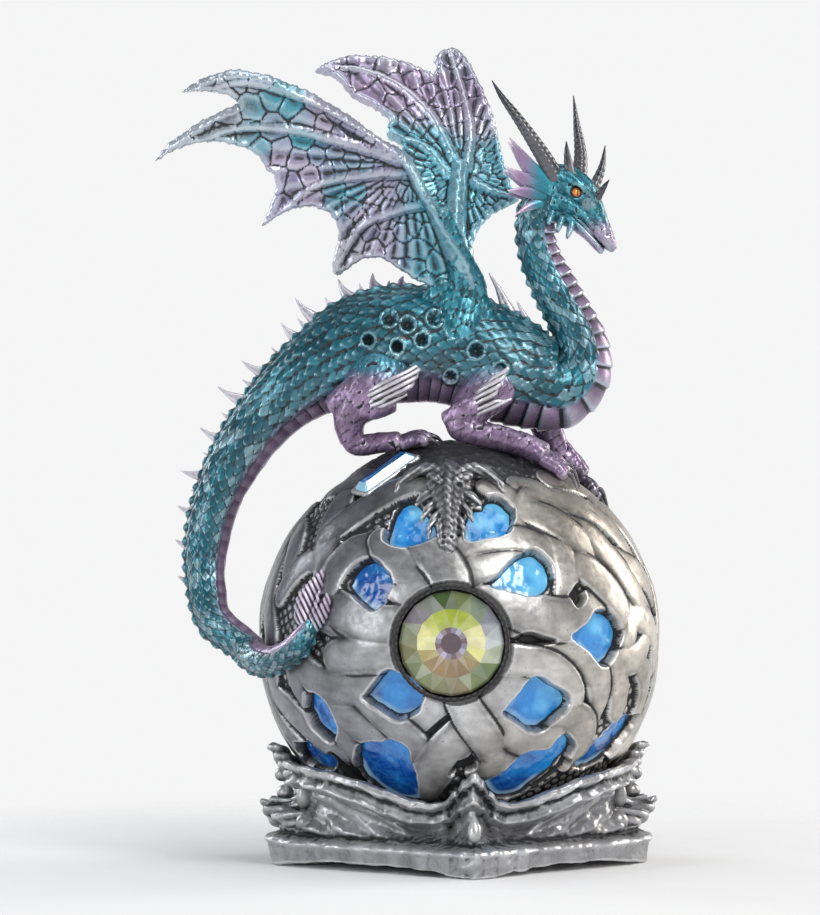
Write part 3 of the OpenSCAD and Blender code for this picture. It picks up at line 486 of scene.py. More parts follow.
# bands of the knotwork on the front half: points of longitude, latitude, half width and level, degrees
BANDS = [
    [(-50, 33, 4.5, 2), (-43, 39, 4.5, 2), (-35, 46, 4.6, 2), (-25, 51, 4.4, 2.2), (-15, 52, 4.2, 2.2),
     (-8, 47, 3.6, 2)],
    [(-58, 47, 4, 1.2), (-53, 39, 4.6, 1.6), (-49, 30, 4.8, 1.8), (-45, 21, 4.4, 1.6), (-43, 12, 4, 1)],
    [(-43, 12, 4, 1.6), (-42, 20, 4.2, 2.4), (-37, 27, 4.2, 2.4), (-31, 30, 3.6, 1.6)],
    [(-27, 31, 3.4, 2.8), (-23, 26.5, 4.2, 3), (-17, 22, 4.2, 2.6), (-12, 19, 3.6, 1.6)],
    [(-20, 30, 3, 1.4), (-13, 28.5, 4.2, 2.6), (-7, 25, 4.8, 3.2), (-3.4, 20, 4.8, 3.2),
     (-2, 14, 4.4, 2.4)],
    [(-20, 16.5, 3, 1.6), (-14, 14.6, 4.4, 2.2), (-7, 14.4, 4.6, 2)],
    [(-40, 13, 3.6, 1.6), (-35, 9.6, 4.8, 2.8), (-28, 6.8, 5, 3), (-20, 6, 5, 2.8), (-12, 6, 5, 2.2)],
    [(-43, 7, 2.6, 1.2), (-38, 5.6, 2.8, 1.8), (-31, 3, 2.4, 1.4)],
    [(-37, -3, 4.4, 2.4), (-30, -2, 5, 2.7), (-21, -2, 4.6, 2.5), (-12, -2, 4.4, 2)],
    [(-52, -6, 4.2, 1.8), (-45, -10, 4.6, 2.2), (-37, -12, 4.8, 2.2), (-30, -11, 4, 1.8),
     (-25, -7, 2.6, 1.6), (-19, -5, 1.8, 1.6)],
    [(-31, -14, 2.6, 2), (-26, -18, 3.2, 2.4), (-20, -22.5, 3.8, 2.8), (-14.6, -28, 3.8, 2.8),
     (-12.6, -35, 3.6, 2.2), (-14, -41, 3, 1.6)],
    [(-42, -13, 4, 1.2), (-37, -20, 4.6, 1.9), (-30, -24.6, 4.2, 2), (-22, -28, 3.4, 1.8)],
    [(-46, -15, 2, 1.2), (-41, -24, 3.4, 1.6), (-38, -31, 3.4, 1.8), (-34, -39, 3.4, 1.6),
     (-28, -50, 3.4, 1)],
    [(-57, -3, 3.2, 1.4), (-55.6, -10, 3.2, 1.8), (-53, -16, 2.4, 1.4)],
    [(-70, -16, 4, 1.4), (-63, -19, 4.4, 2), (-56, -24, 4, 2), (-50, -29.5, 3.4, 1.8), (-43, -33, 3, 1.4)],
    [(-72, 0, 4, 1.2), (-71, -9, 4, 1.6), (-75, -18, 4, 1.2)],
    [(-66, 14, 3.4, 1.6), (-61, 20, 3.8, 2), (-54, 24, 3.4, 1.8), (-48, 23, 2.6, 1.2)],
    [(-77, 34, 3.8, 1.4), (-70, 30, 4.2, 2), (-65, 22, 4, 1.8)],
    [(-80, 25, 4.4, 1.2), (-76, 12, 4.8, 1.8), (-70, 2, 4.4, 1.4)],
    [(-15, -45, 4.4, 1.8), (-10.4, -38, 5.2, 3), (-4.4, -30, 5.2, 3), (2, -23, 4.6, 2), (7, -17, 4, 1)],
    [(-5, -14.5, 3.4, 1.2), (-10.6, -19, 3.4, 1.8), (-16, -24, 3.2, 1.4)],
    [(-1.4, -12, 3.6, 2.2), (2.4, -19, 4.2, 3.2), (7.4, -26, 4.2, 3.2), (11, -31.6, 3.8, 1.8)],
    [(6.6, -20, 3.6, 1.4), (10.4, -14.6, 4.6, 2.4), (16, -10.6, 4.2, 2.4), (22, -9, 2.8, 1.8)],
    [(10, -3.4, 3.8, 2.4), (19, -3.6, 3.9, 3), (27, -6.4, 3.9, 3.2), (33, -12, 3.7, 3), (35, -18, 3, 2)],
    [(24, 2.6, 2.6, 1.6), (33, 0.2, 4.2, 2.4), (40, -5.4, 4.4, 2.6), (44, -13, 3.8, 2.4),
     (45, -21, 2, 1.2)],
    [(12.4, -22, 3, 1.8), (17.6, -26.4, 3.7, 2.6), (25, -28.2, 3.7, 2.6), (31.6, -25.6, 3.2, 1.8)],
    [(28, -20.6, 2.6, 1.6), (34, -19.6, 4, 2.4), (39.6, -22.6, 4.4, 2.6), (42, -29, 4, 2.2),
     (40, -36, 3, 1)],
    [(50, -7, 3, 1.4), (53, -12.4, 4, 2.2), (54.6, -19, 3.4, 1.8)],
    [(45, -8, 3, 1.2), (52, -5.4, 3.6, 2), (60, -4, 3.8, 2.2), (67, 1, 3.2, 1.8), (68, 8, 2.6, 1.2)],
    [(61, -5, 3.4, 1.6), (68, -10, 4, 2.2), (71, -18, 3.6, 1.8), (68, -25, 3, 1)],
    [(6, -38, 3.2, 1.2), (12.6, -35.4, 3.6, 1.8), (19, -31.6, 3, 1.2)],
    [(-1, 28, 3.2, 1.8), (6, 30.6, 3.4, 2.2), (14, 31.6, 3.4, 2.4), (22, 31, 3.4, 2.4), (28, 27.6, 3, 2.2),
     (30, 21, 2.2, 1.4)],
    [(-1, 21, 4.2, 1.6), (6, 22.6, 4, 1.9), (13, 25, 2.8, 1.8), (20, 28, 1.6, 1.4)],
    [(6, 14.6, 3, 1.8), (12, 12.4, 4.4, 2.8), (20, 9.4, 5.4, 3), (29, 7.4, 5.4, 3), (37, 8.6, 5, 2.6),
     (43, 12.6, 4, 1.4)],
    [(28, 35, 3, 1.2), (32.4, 29, 3.8, 2.2), (34, 21.6, 3.8, 2.2), (31.6, 14.4, 3.2, 1.4)],
    [(22, 42, 3.4, 1.8), (29, 39.4, 4.4, 2.8), (36.6, 35.6, 4.6, 3), (43, 30, 4.2, 2.4),
     (47, 24, 3.4, 1.2)],
    [(35, 25, 3.2, 1.6), (41, 22, 4.2, 2.8), (47.6, 16.6, 4.3, 3), (53, 10.6, 4, 2.4), (55, 5, 3, 1.2)],
    [(44, 38, 3.4, 1.2), (49, 33, 4.2, 2.2), (53.6, 26, 4.4, 2.6), (59.4, 18.6, 4.2, 2.8), (66, 12, 4, 2),
     (72, 8, 3.4, 1)],
    [(34, 45, 3.4, 1.4), (45, 44.6, 4.2, 2.4), (56, 40.6, 4.4, 2.8), (65, 34, 4.2, 2.4),
     (70, 27, 3.4, 1.2)],
    [(28, 52, 3.4, 1.2), (34, 50, 4, 2), (40, 44, 3.4, 2), (41, 37, 2.6, 1.2)],
    [(23, 36, 2.4, 1.2), (25.6, 42, 3.2, 1.8), (31, 47, 3.2, 2.2), (38, 49, 3, 1.6)],
    [(18, 33, 2.6, 1.2), (21.6, 39, 3.6, 1.6), (20, 47, 3.6, 1.6), (12, 51, 3, 1.4)],
    [(58, 27, 2.6, 1.2), (65, 22, 4, 2.2), (74, 18.6, 4.2, 2.2), (82, 14, 4, 1.2)],
    [(57, 8, 3.4, 1.6), (66, 6.6, 4.2, 2.2), (74, 2, 4.2, 2), (78, -6, 3.8, 1.2)],
    [(58, 10, 3, 1.4), (57, 3.6, 3.2, 2), (54.4, -1.6, 2.8, 1.4)],
    [(13, 7.4, 2.4, 1.4), (17, 4.6, 2.6, 1.8), (23, 2.4, 2, 1.2)],
    [(70, 44, 4, 1.6), (78, 35, 4.2, 2.2), (84, 26, 4, 1.4)],
    [(80, -2, 4, 1.2), (84, -12, 4.4, 2), (80, -22, 4.4, 2), (72, -30, 4, 1.2)],
    [(90, 24, 4, 1.6), (88, 12, 4.4, 2.4), (86, 0, 4.2, 1.4)],
    [(50, 54, 4, 1.4), (62, 52, 4.2, 2), (74, 47, 4, 1.4)],
    [(-70, 50, 4, 1.4), (-62, 54, 4.2, 2), (-46, 56, 4, 1.4)],
    [(-90, 40, 4, 1.4), (-84, 30, 4.2, 2.2), (-86, 14, 4, 1.6), (-92, 4, 4, 1.2)],
    [(-86, -2, 4, 1.4), (-82, -12, 4.4, 2), (-76, -24, 4.2, 2), (-66, -34, 4, 1.2)],
    [(-90, -14, 4, 1.6), (-90, -28, 4.4, 2), (-80, -38, 4, 1.4)],
    [(70, -32, 4, 1.4), (80, -30, 4.4, 2.2), (90, -36, 4, 1.4)],
]
# lit windows: outlines in longitude and latitude, and how deep or pale each glows
WINDOWS = [
    (0.55, [(-25, 36), (-25, 41.5), (-22, 45.5), (-18.5, 45), (-14, 41.5), (-10, 36.5), (-9.6, 32.5),
            (-15.5, 30), (-20.8, 29.7), (-25, 31.5)]),
    (0.7, [(2, 37), (4.5, 42), (9.2, 43), (11, 46), (15.5, 46.5), (19, 42), (17.5, 37.2), (14.5, 33.5),
           (8, 32.4), (2.8, 31.7)]),
    (0.08, [(-35.5, 18), (-34, 21.8), (-30, 24.5), (-26.8, 24), (-24, 21.5), (-21.6, 19), (-22, 16),
            (-24, 12), (-26.5, 11), (-29.6, 13), (-32.5, 15.2)]),
    (0.8, [(9.4, 17.6), (14, 22), (18.8, 25.6), (23, 27), (26, 25.6), (28, 22), (27, 18), (24.5, 15.8),
           (20.6, 15), (14.8, 16.4)]),
    (0.5, [(33, 2.8), (38, 5.5), (43.5, 9.5), (50.5, 6.5), (52, 3), (49.5, -1.5), (46.5, -4.5), (43, -4.5),
           (38.5, -0.6)]),
    (0.3, [(-28.4, -14.3), (-25, -11), (-21, -7), (-18, -8), (-13.8, -10.4), (-12, -13.4), (-13, -17.2),
           (-16.5, -19.3), (-19.8, -19.6), (-24.5, -16.8)]),
    (0.3, [(-51, -14.6), (-47, -14.5), (-44, -16.8), (-42.5, -21), (-42.6, -24.5), (-46, -27.5), (-50, -25),
           (-52.5, -21.5), (-52.6, -17.8)]),
    (0.1, [(-34.6, -30), (-30.4, -28.5), (-25.4, -28.5), (-22.5, -27.6), (-18.2, -29.2), (-18, -33.2),
           (-17.2, -38), (-18.5, -46.6), (-20, -52),
           (-30, -52), (-37, -46.5), (-39.4, -40), (-37.6, -34.6)]),
    (0.05, [(-70, -30.5), (-57.5, -31), (-53, -36.6), (-62, -40), (-75, -38)]),
    (0.6, [(13, -18.3), (17, -13.8), (20, -9.7), (22.4, -9), (26.4, -11.3), (31.8, -14), (32.3, -17),
           (29.8, -19.3), (25.8, -23), (21, -23), (17, -20.4)]),
    (0.3, [(10, -44), (15.5, -38.6), (20.8, -33), (23, -31), (29.5, -31), (32, -27.8), (34.4, -26.2),
           (38.5, -29.4), (38.4, -33.4), (34.6, -39.6),
           (30.5, -44), (26, -49), (16.6, -50)]),
    (0.2, [(45, -35), (51.5, -31), (59, -24.5), (70, -21.5), (74, -23.5), (68, -30), (66, -34), (57.5, -38),
           (49, -38.4)]),
]
# dark slots where the knotwork stands open with nothing lit behind: they are sunk pits, and their darkness is
# painted shade
SLOTS = [
    [(-51, -33), (-47.4, -32), (-43, -37), (-41, -43), (-43, -46), (-48, -44), (-52, -39)],
    [(13.6, 2.2), (19, 4), (23, 3), (27, 1.6), (20, 0.8)],
    [(-1, -33.4), (3.4, -32.6), (4.6, -36.6), (-3.6, -38)],
    [(38.5, -33.6), (41, -35), (40.4, -39), (34, -46), (30, -46), (35.6, -40)],
    [(33, 14.4), (37, 17.6), (38.6, 13.4), (35, 11)],
]


def band_path(rows):
    P = curve([(*(on_ball(r[0], r[1]) * R), r[2] * 1.17 * math.pi / 180 * R, r[3]) for r in rows], 0.5)
    P[:, :3] = unit(P[:, :3]) * R
    return P


def polygon_distance(D, outline):
    """Signed distance in mm from points on the ball to an outline: negative inside."""
    ring = on_ball(np.array([p[0] for p in outline], float), np.array([p[1] for p in outline], float)) * R
    loop = curve(np.vstack([ring, ring[:1]]), 0.7)
    loop = unit(loop) * R
    c = unit(loop.mean(0))
    e1 = unit(np.cross([0, 0, 1.0], c))
    e2 = np.cross(c, e1)
    scale = R / np.maximum(D @ c, 0.05)
    x, y = (D @ e1) * scale, (D @ e2) * scale
    ls = R / np.maximum(unit(loop) @ c, 0.05)
    lx, ly = (unit(loop) @ e1) * ls, (unit(loop) @ e2) * ls
    best = np.full(len(D), 99.0)
    inside = np.zeros(len(D), bool)
    for i in range(len(lx)):
        j = (i + 1) % len(lx)
        ex, ey = lx[j] - lx[i], ly[j] - ly[i]
        t = np.clip(((x - lx[i]) * ex + (y - ly[i]) * ey) / max(ex * ex + ey * ey, 1e-9), 0, 1)
        best = np.minimum(best, np.hypot(x - lx[i] - t * ex, y - ly[i] - t * ey))
        hit = ((ly[i] > y) != (ly[j] > y)) & (x < (lx[j] - lx[i]) * (y - ly[i]) / (ly[j] - ly[i] + 1e-12)
                                              + lx[i])
        inside ^= hit
    return np.where(inside, -best, best)


NLON, NLAT = ((1000, 520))
LON_A = (np.arange(NLON) * 360.0 / NLON) - 180
LAT_A = np.linspace(-74, 89, NLAT)
GLON, GLAT = np.meshgrid(LON_A, LAT_A)
G = on_ball(GLON.ravel(), GLAT.ravel())
STONE = on_ball(-2.7, 1.3)
STONE_R = (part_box("crystal_bezel")[1].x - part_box("crystal_bezel")[0].x) / 2 / MM


def orb_height():
    top = np.full(len(G), -9.0)
    along = np.zeros(len(G))
    rims = []
    lip = np.zeros(len(G))
    for half in (0, 180):
        for bi, rows in enumerate(BANDS):
            P = band_path([(r[0] + half, *r[1:]) for r in rows])
            c = unit(P[:, :3].mean(0))
            reach = np.arccos(np.clip((unit(P[:, :3]) @ c).min(), -1, 1)) + 0.13
            pick = np.nonzero(G @ c > math.cos(reach))[0]
            Q = G[pick] * R
            best = np.full(len(pick), 99.0)
            wide = np.ones(len(pick))
            lev = np.zeros(len(pick))
            for i in range(len(P) - 1):
                e = P[i + 1, :3] - P[i, :3]
                t = np.clip(((Q - P[i, :3]) @ e) / (e @ e), 0, 1)
                d = np.linalg.norm(Q - P[i, :3] - t[:, None] * e, axis=1)
                n = d < best
                best[n] = d[n]
                wide[n] = (P[i, 3] + t * (P[i + 1, 3] - P[i, 3]))[n]
                lev[n] = (P[i, 4] + t * (P[i + 1, 4] - P[i, 4]))[n]
            x = best / wide
            h = lev * 0.62 + 0.95 * np.clip(1 - np.abs(x) ** 3.2, 0, 1) ** 0.5 - 0.55
            h = np.where(x < 1, h, -9)
            n = h > top[pick]
            top[pick[n]] = h[n]
            along[pick[n]] = bi
            lip[pick[n]] = x[n]
            out = best - wide
            n = (out > -0.05) & (out < 2.0)
            rims.append((pick[n], out[n], lev[n] * 0.62 - 0.1))
    # painted shade on a lower band just beside a higher band that passes over it
    overlap_shade = np.zeros(len(G))
    for at, out, level in rims:
        over = step(-0.5, 0.3, level - top[at])
        overlap_shade[at] = np.maximum(overlap_shade[at], over * (1 - np.clip(out / 2.0, 0, 1)) ** 1.3)
    # pebbled floor between the bands
    seeds = []
    rng = np.random.default_rng(7)
    for k in range(5200):
        z = -1 + 2 * (k + 0.5) / 5200
        a = k * 2.399963
        seeds.append([math.sqrt(1 - z * z) * math.cos(a), math.sqrt(1 - z * z) * math.sin(a), z])
    seeds = unit(np.array(seeds) + rng.normal(0, 0.006, (5200, 3))) * R
    floor = np.nonzero(top < -1)[0]
    peb = np.full(len(G), 0.0)
    if len(floor):
        idx = near(G[floor] * R, seeds, 1)[:, 0]
        d = np.linalg.norm(G[floor] * R - seeds[idx], axis=1)
        peb[floor] = 0.55 * np.sqrt(np.clip(1 - (d / 0.95) ** 2, 0, 1))
    base = -0.9 + peb
    h = np.maximum(top, base)
    bare = step(0.05, -0.3, top - base)
    # carved rock under the dragon's feet
    rock = step(50, 62, GLAT.ravel())
    carved = 1.0 + 0.8 * fbm(G * R, 5.0, 3) + 0.35 * np.abs(noise(G * R, 1.8, 9))
    h = h * (1 - rock) + carved * rock
    win = np.full(len(G), 99.0)
    for half in (0, 180):
        for _, outline in WINDOWS:
            c = unit(on_ball(np.array([p[0] + half for p in outline], float),
                             np.array([p[1] for p in outline], float)).mean(0))
            pick = np.nonzero(G @ c > 0.9)[0]
            d = polygon_distance(G[pick], [(p[0] + half, p[1]) for p in outline])
            win[pick] = np.minimum(win[pick], d)
    gap = np.full(len(G), 99.0)
    for half in (0, 180):
        for outline in SLOTS:
            c = unit(on_ball(np.array([p[0] + half for p in outline], float),
                             np.array([p[1] for p in outline], float)).mean(0))
            pick = np.nonzero(G @ c > 0.9)[0]
            gap[pick] = np.minimum(gap[pick],
                                   polygon_distance(G[pick], [(p[0] + half, p[1]) for p in outline]))
    # the skin rolls over into each window, past the tinted globe's own surface
    ragged = win - 0.55 + 0.2 * noise(G * R, 1.4, 4)
    roll = np.clip((ragged + 0.45) / 0.9, 0, 1)
    h = np.where(ragged < 0.45, (h + 4.6) * np.sqrt(roll) - 4.6, h)
    fall = np.clip((gap + 0.5) / 1.0, 0, 1)
    h = np.where(gap < 0.5, (h + 2.4) * np.sqrt(fall) - 2.4, h)
    for half, r_in in ((0, STONE_R), (180, 0)):
        c = STONE * (1 if half == 0 else -1) * np.array([1, 1, 1 if half == 0 else -1])
        d = np.arccos(np.clip(G @ c, -1, 1)) * R
        if half == 0:
            h = np.where(d < r_in + 0.25, -2.4, h)
            h = np.where((d >= r_in + 0.25) & (d < r_in + 1.3),
                         np.minimum(h, -0.2 + 1.5 * (d - r_in - 0.25)), h)
        else:
            rings = 1.5 + 0.5 * np.cos(d / STONE_R * math.pi * 4) + 0.8 * step(6, 0, d)
            h = np.where(d < STONE_R, rings, h)
    h = h + 0.07 * fbm(G * R, 2.6, 12) * (h > -1)
    overlap_shade = overlap_shade * (1 - rock) * (win > 0.2)
    return h, win, bare, along, overlap_shade, lip


h, WIN, BARE, ALONG, OVERLAP_SHADE, LIP = orb_height()
V = OC + G * (R - 1.0 + h * 0.74)[:, None]
i, j = np.meshgrid(np.arange(NLAT - 1), np.arange(NLON), indexing="ij")
a, b = (i * NLON + j).ravel(), (i * NLON + (j + 1) % NLON).ravel()
F = np.stack([a, b, b + NLON, a + NLON], 1)
low = V[:, 2] < OC[2] - R * 0.93
sunk = (WIN < -0.6)
F = F[~(sunk[F].all(1))]
cav = crease(V, F, 3, 0.12) * 0.5 + crease(V, F, 14, 0.6) * 0.5
# painted light: the orb's left is painted a dark grey and its right a warm pale, as if a warm lamp lit it from
# the right
side = step(-0.6, 0.75, G[:, 0])
paint = mix((0.2, 0.207, 0.228), (0.5, 0.462, 0.41), side)
# painted highlight across the front centre of the orb
front = np.clip(-G[:, 1], 0, 1) ** 3 * (1 - np.abs(G[:, 0] - 0.05)) * step(0.75, 0.2, np.abs(G[:, 2]))
paint = mix(paint, (0.6, 0.6, 0.605), np.clip(front * 1.3, 0, 1) * 0.85)
paint *= (0.82 + 0.3 * hash01(ALONG.astype(int), 3))[:, None]
# painted shade darkens each band toward its edges and beside a band that crosses over it; the stretched noise
# adds streaks
paint *= (1.08 - 0.45 * step(0.45, 0.97, LIP) * (LIP > 0) - 0.62 * OVERLAP_SHADE ** 0.8 + 0.16
          * noise(G * R * np.array([1, 1, 2.2]), 2.1, 14))[:, None]
paint = mix(paint, (0.1, 0.1, 0.11), step(48, 66, GLAT.ravel()) * 0.8)
# extra painted shade on the floor between bands, beside crossings and deep in the windows, slots and stone
# seat; band edges get a painted highlight
cav = np.clip(cav - 0.1 * step(0.62, 0.9, LIP) * (OVERLAP_SHADE < 0.2) + 0.2 * BARE * (cav > 0.42) + 0.4
              * step(0.5, 0.85, OVERLAP_SHADE) + 0.5 * step(-0.9, -2.0, h), 0, 1)
build("orb_bands", V, F, paint, cav, SILVER, ["orb_shell"])

# the tinted globe that shows in the windows
glow = np.zeros(len(G))
tint = np.zeros(len(G))
for half in (0, 180):
    for k, (pale, outline) in enumerate(WINDOWS):
        c = unit(on_ball(np.array([p[0] + half for p in outline], float),
                         np.array([p[1] for p in outline], float)).mean(0))
        pick = np.nonzero(G @ c > 0.93)[0]
        d = polygon_distance(G[pick], [(p[0] + half, p[1]) for p in outline])
        m = pick[d < 1.2]
        e = d[d < 1.2]
        lean = unit(np.array([0.5, 0, 0.8]) + 0.4 * (hash01(k, half, np.arange(3)) - 0.5))
        across = (G[m] - c) @ lean * R / 5
        tint[m] = np.clip(pale + 0.5 * across * (0.5 if pale > 0.4 else 0.35) + 0.3
                          * noise(G[m] * R, 3.2, k + 20), 0, 1)
        edge_side = (G[m] - c) @ unit(np.array([-0.5, 0, -0.8])) * R
        glow[m] = step(-1.5, -0.2, e) * step(0.5, 4,
                                             edge_side + 2.2 * noise(G[m] * R, 2.5,
                                                     k)) * (0.9 if k % 3 else 0.6)
blue = mix(mix((0.002, 0.05, 0.27), (0.006, 0.19, 0.56), step(0, 0.45, tint)), (0.14, 0.5, 0.8),
           step(0.45, 1.0, tint))
globe_h = 0.28 * np.abs(noise(G * R, 3.6, 41)) + 0.12 * noise(G * R, 1.5, 42)
VG = OC + G * (R - 3.0 + globe_h)[:, None]
keep = (WIN < 1.6)
FG = np.stack([a, b, b + NLON, a + NLON], 1)
FG = FG[keep[FG].any(1)]
build("tinted_globe", VG, FG, blue, glow, lit_window(), ["light_globe"])


# ---------------------------------------------------------------- stones
def ray_frame(lon, lat):
    """Right, up and outward at a place on the orb."""
    o = on_ball(lon, lat)
    r = unit(np.cross([0, 0, 1.0], o))
    return r, np.cross(o, r), o


def crystal():
    lo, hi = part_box("crystal")
    r, u, o = ray_frame(-2.7, 1.3)
    size = (hi.x - lo.x) / 2 / MM
    tip = -lo.y / MM + 0.15
    # rings of half-steps: radius share, height under the table, twist
    rings = [(1.0, 2.6, 0), (1.0, 2.2, 0), (0.66, 0.95, 1), (0.31, 0.1, 0), (0.2, 0.0, 0)]
    V, F, C = [], [], []
    outer = [(0.30, 0.36, 0.13), (0.34, 0.42, 0.3), (0.42, 0.44, 0.5), (0.55, 0.6, 0.62),
             (0.52, 0.58, 0.42), (0.18, 0.26, 0.1), (0.2, 0.25, 0.1), (0.26, 0.23, 0.12),
             (0.25, 0.26, 0.12), (0.24, 0.28, 0.13), (0.21, 0.25, 0.11), (0.2, 0.2, 0.08),
             (0.26, 0.3, 0.18), (0.34, 0.32, 0.36), (0.36, 0.4, 0.34), (0.1, 0.17, 0.05)]
    inner = [(0.6, 0.72, 0.1), (0.68, 0.76, 0.22), (0.88, 0.86, 0.42), (0.93, 0.88, 0.5), (0.86, 0.84, 0.3),
             (0.34, 0.27, 0.12), (0.3, 0.2, 0.1), (0.33, 0.22, 0.11),
             (0.34, 0.23, 0.11), (0.36, 0.25, 0.12), (0.5, 0.42, 0.16), (0.88, 0.86, 0.42),
             (0.9, 0.88, 0.36), (0.8, 0.84, 0.25), (0.66, 0.76, 0.14), (0.56, 0.68, 0.07)]
    table = [(0.3, 0.27, 0.36), (0.5, 0.46, 0.6), (0.34, 0.28, 0.33), (0.2, 0.13, 0.15)]
    n = 16

    def at(ring, k):
        rr, z, tw = ring
        t = math.radians(90) - 2 * math.pi * (k + tw / 2) / n
        return OC + o * (tip - z) + (r * math.cos(t) + u * math.sin(t)) * rr * size - o * 0
    for q in range(len(rings) - 1):
        for k in range(n):
            A, B, Cc, D = at(rings[q], k), at(rings[q], k + 1), at(rings[q + 1], k + 1), at(rings[q + 1], k)
            tw = rings[q + 1][2] - rings[q][2]
            col = (outer[k], outer[k], inner[k], table[k % 4])[q]
            # painted glint: one triangle of each facet outside the table is lightened toward white
            glinted_col = mix(col, (0.95, 0.95, 0.9), 0.1 + 0.12 * (k % 3 == 0)) if q < 3 else col
            tris = ((A, B, D), (B, Cc, D)) if tw >= 0 else ((A, B, Cc), (A, Cc, D))
            for m, t in enumerate(tris):
                F.append([len(V), len(V) + 1, len(V) + 2])
                V.extend(t)
                C.extend([col if m == 0 else glinted_col] * 3)
    for k in range(n):
        F.append([len(V), len(V) + 1, len(V) + 2])
        V.extend([at(rings[-1], k), at(rings[-1], k + 1), OC + o * (tip - 0.05)])
        C.extend([(0.11, 0.07, 0.09)] * 3)
    build("crystal_stone", np.array(V), np.array(F)[:, ::-1], np.array(C), 0.0, gem("crystal_foil"),
          ["crystal"], smooth=False)
    # bezel: a rolled ring with a fine milled edge
    br = STONE_R
    th = np.arange(200) * 2 * math.pi / 200
    prof = [(br - 0.55, -1.8), (br - 0.62, -0.4), (br - 0.5, 0.15), (br - 0.2, 0.4), (br + 0.15, 0.35),
            (br + 0.38, 0.05), (br + 0.42, -0.5), (br + 0.36, -2.2)]
    prof = curve([(x, z, 0, 0, 0) for x, z in prof], 0.12)[:, :2]
    rr = np.outer(prof[:, 0], np.ones(200)) + 0.035 * np.cos(th * 50)[None, :] * (prof[:, 1] > -0.3)[:,
            None]
    face = -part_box("crystal_bezel")[0].y / MM - 0.3
    V = OC + (rr * np.cos(th))[..., None] * r + (rr * np.sin(th))[..., None] * u + (face + prof[:, 1])[:,
            None, None] * o
    m = len(prof)
    i, j = np.meshgrid(np.arange(m - 1), np.arange(200), indexing="ij")
    a, b = (i * 200 + j).ravel(), (i * 200 + (j + 1) % 200).ravel()
    F = np.stack([a, b, b + 200, a + 200], 1)
    V = V.reshape(-1, 3)
    build("bezel_ring", V, F, np.tile([0.12, 0.105, 0.12], (len(V), 1)), crease(V, F, 6, 0.05), HORN,
          ["crystal_bezel"])


BAR_PLACE = (-43, 57.2)       # the bar gem's longitude and latitude on the orb, as in the CAD
BAR_ROLL = -14                # its turn about the ray, in degrees
BAR_HALF = (8.2, 2.7)         # half its length and width, mm


def bar_gem():
    lo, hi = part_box("bar_gem")
    c = np.array((lo + hi) / 2) / MM - OC
    o = unit(c)
    r, u, _ = ray_frame(*BAR_PLACE)
    t = math.radians(BAR_ROLL)
    # the roll turns about the ray, from the CAD's own first axis, which points down the meridian
    e1 = -u * math.cos(t) + r * math.sin(t)
    e2 = np.cross(o, e1)
    L, W = BAR_HALF
    top = np.linalg.norm(c) + 1.35
    rings = [(1, 1, -3.0), (1, 1, -1.3), (0.83, 0.5, 0.35)]
    corners = [(-1, -0.7), (-0.93, -1), (0.93, -1), (1, -0.7), (1, 0.7), (0.93, 1), (-0.93, 1), (-1, 0.7)]
    V, F, C = [], [], []

    def at(q, k):
        sx, sy, z = rings[q]
        x, y = corners[k % 8]
        return OC + e1 * x * L * sx + e2 * y * W * sy + o * (top + z)
    tints = [(0.1, 0.4, 0.75), (0.01, 0.12, 0.45), (0.02, 0.2, 0.58), (0.25, 0.6, 0.85), (0.35, 0.7, 0.9),
             (0.2, 0.55, 0.85), (0.3, 0.65, 0.88), (0.04, 0.3, 0.7)]
    for q in range(2):
        for k in range(8):
            F.append([len(V) + m for m in range(4)])
            V.extend([at(q, k), at(q, k + 1), at(q + 1, k + 1), at(q + 1, k)])
            C.extend([tints[k] if q else (0.02, 0.16, 0.45)] * 4)
    for k0, k1 in ((0, 3), (3, 4), (4, 7), (7, 0)):
        F.append([len(V) + m for m in range(4)])
        mid = OC + o * (top + 0.42) + e1 * (-2 if k0 in (0, 7) else 3)
        V.extend([at(2, k0), at(2, k1), mid, mid + e1 * 0.01])
        C.extend([(0.01, 0.14, 0.45) if k0 in (0, 7) else (0.02, 0.24, 0.62)] * 4)
    build("bar_stone", np.array(V), np.array(F), np.array(C), 0.0, gem("bar_foil", 0.2),
          ["bar_gem"], smooth=False)
    parts = []
    for k in range(4):
        sx, sy = ((-1, -1), (1, -1), (1, 1), (-1, 1))[k]
        tx, ty = ((1, -1), (1, 1), (-1, 1), (-1, -1))[k]
        p = OC + e1 * sx * (L + 0.2) + e2 * sy * (W + 0.2) + o * (top - 1.9)
        q = OC + e1 * tx * (L + 0.2) + e2 * ty * (W + 0.2) + o * (top - 1.9)
        d = tube([(*p, 0.75, 0.75), (*((p + q) / 2), 0.7, 0.7), (*q, 0.75, 0.75)], 0.4, 16, side=tuple(o))
        parts.append((d["V"], d["F"]))
    V, F = fused(parts, 0.22, 2)
    V = V + 0.06 * noise(V, 1.2, 2)[:, None] * normals(V, F)
    build("bar_setting", V, F, np.tile([0.34, 0.34, 0.36], (len(V), 1)), crease(V, F, 5, 0.07), SILVER,
          ["bar_gem_seat"])


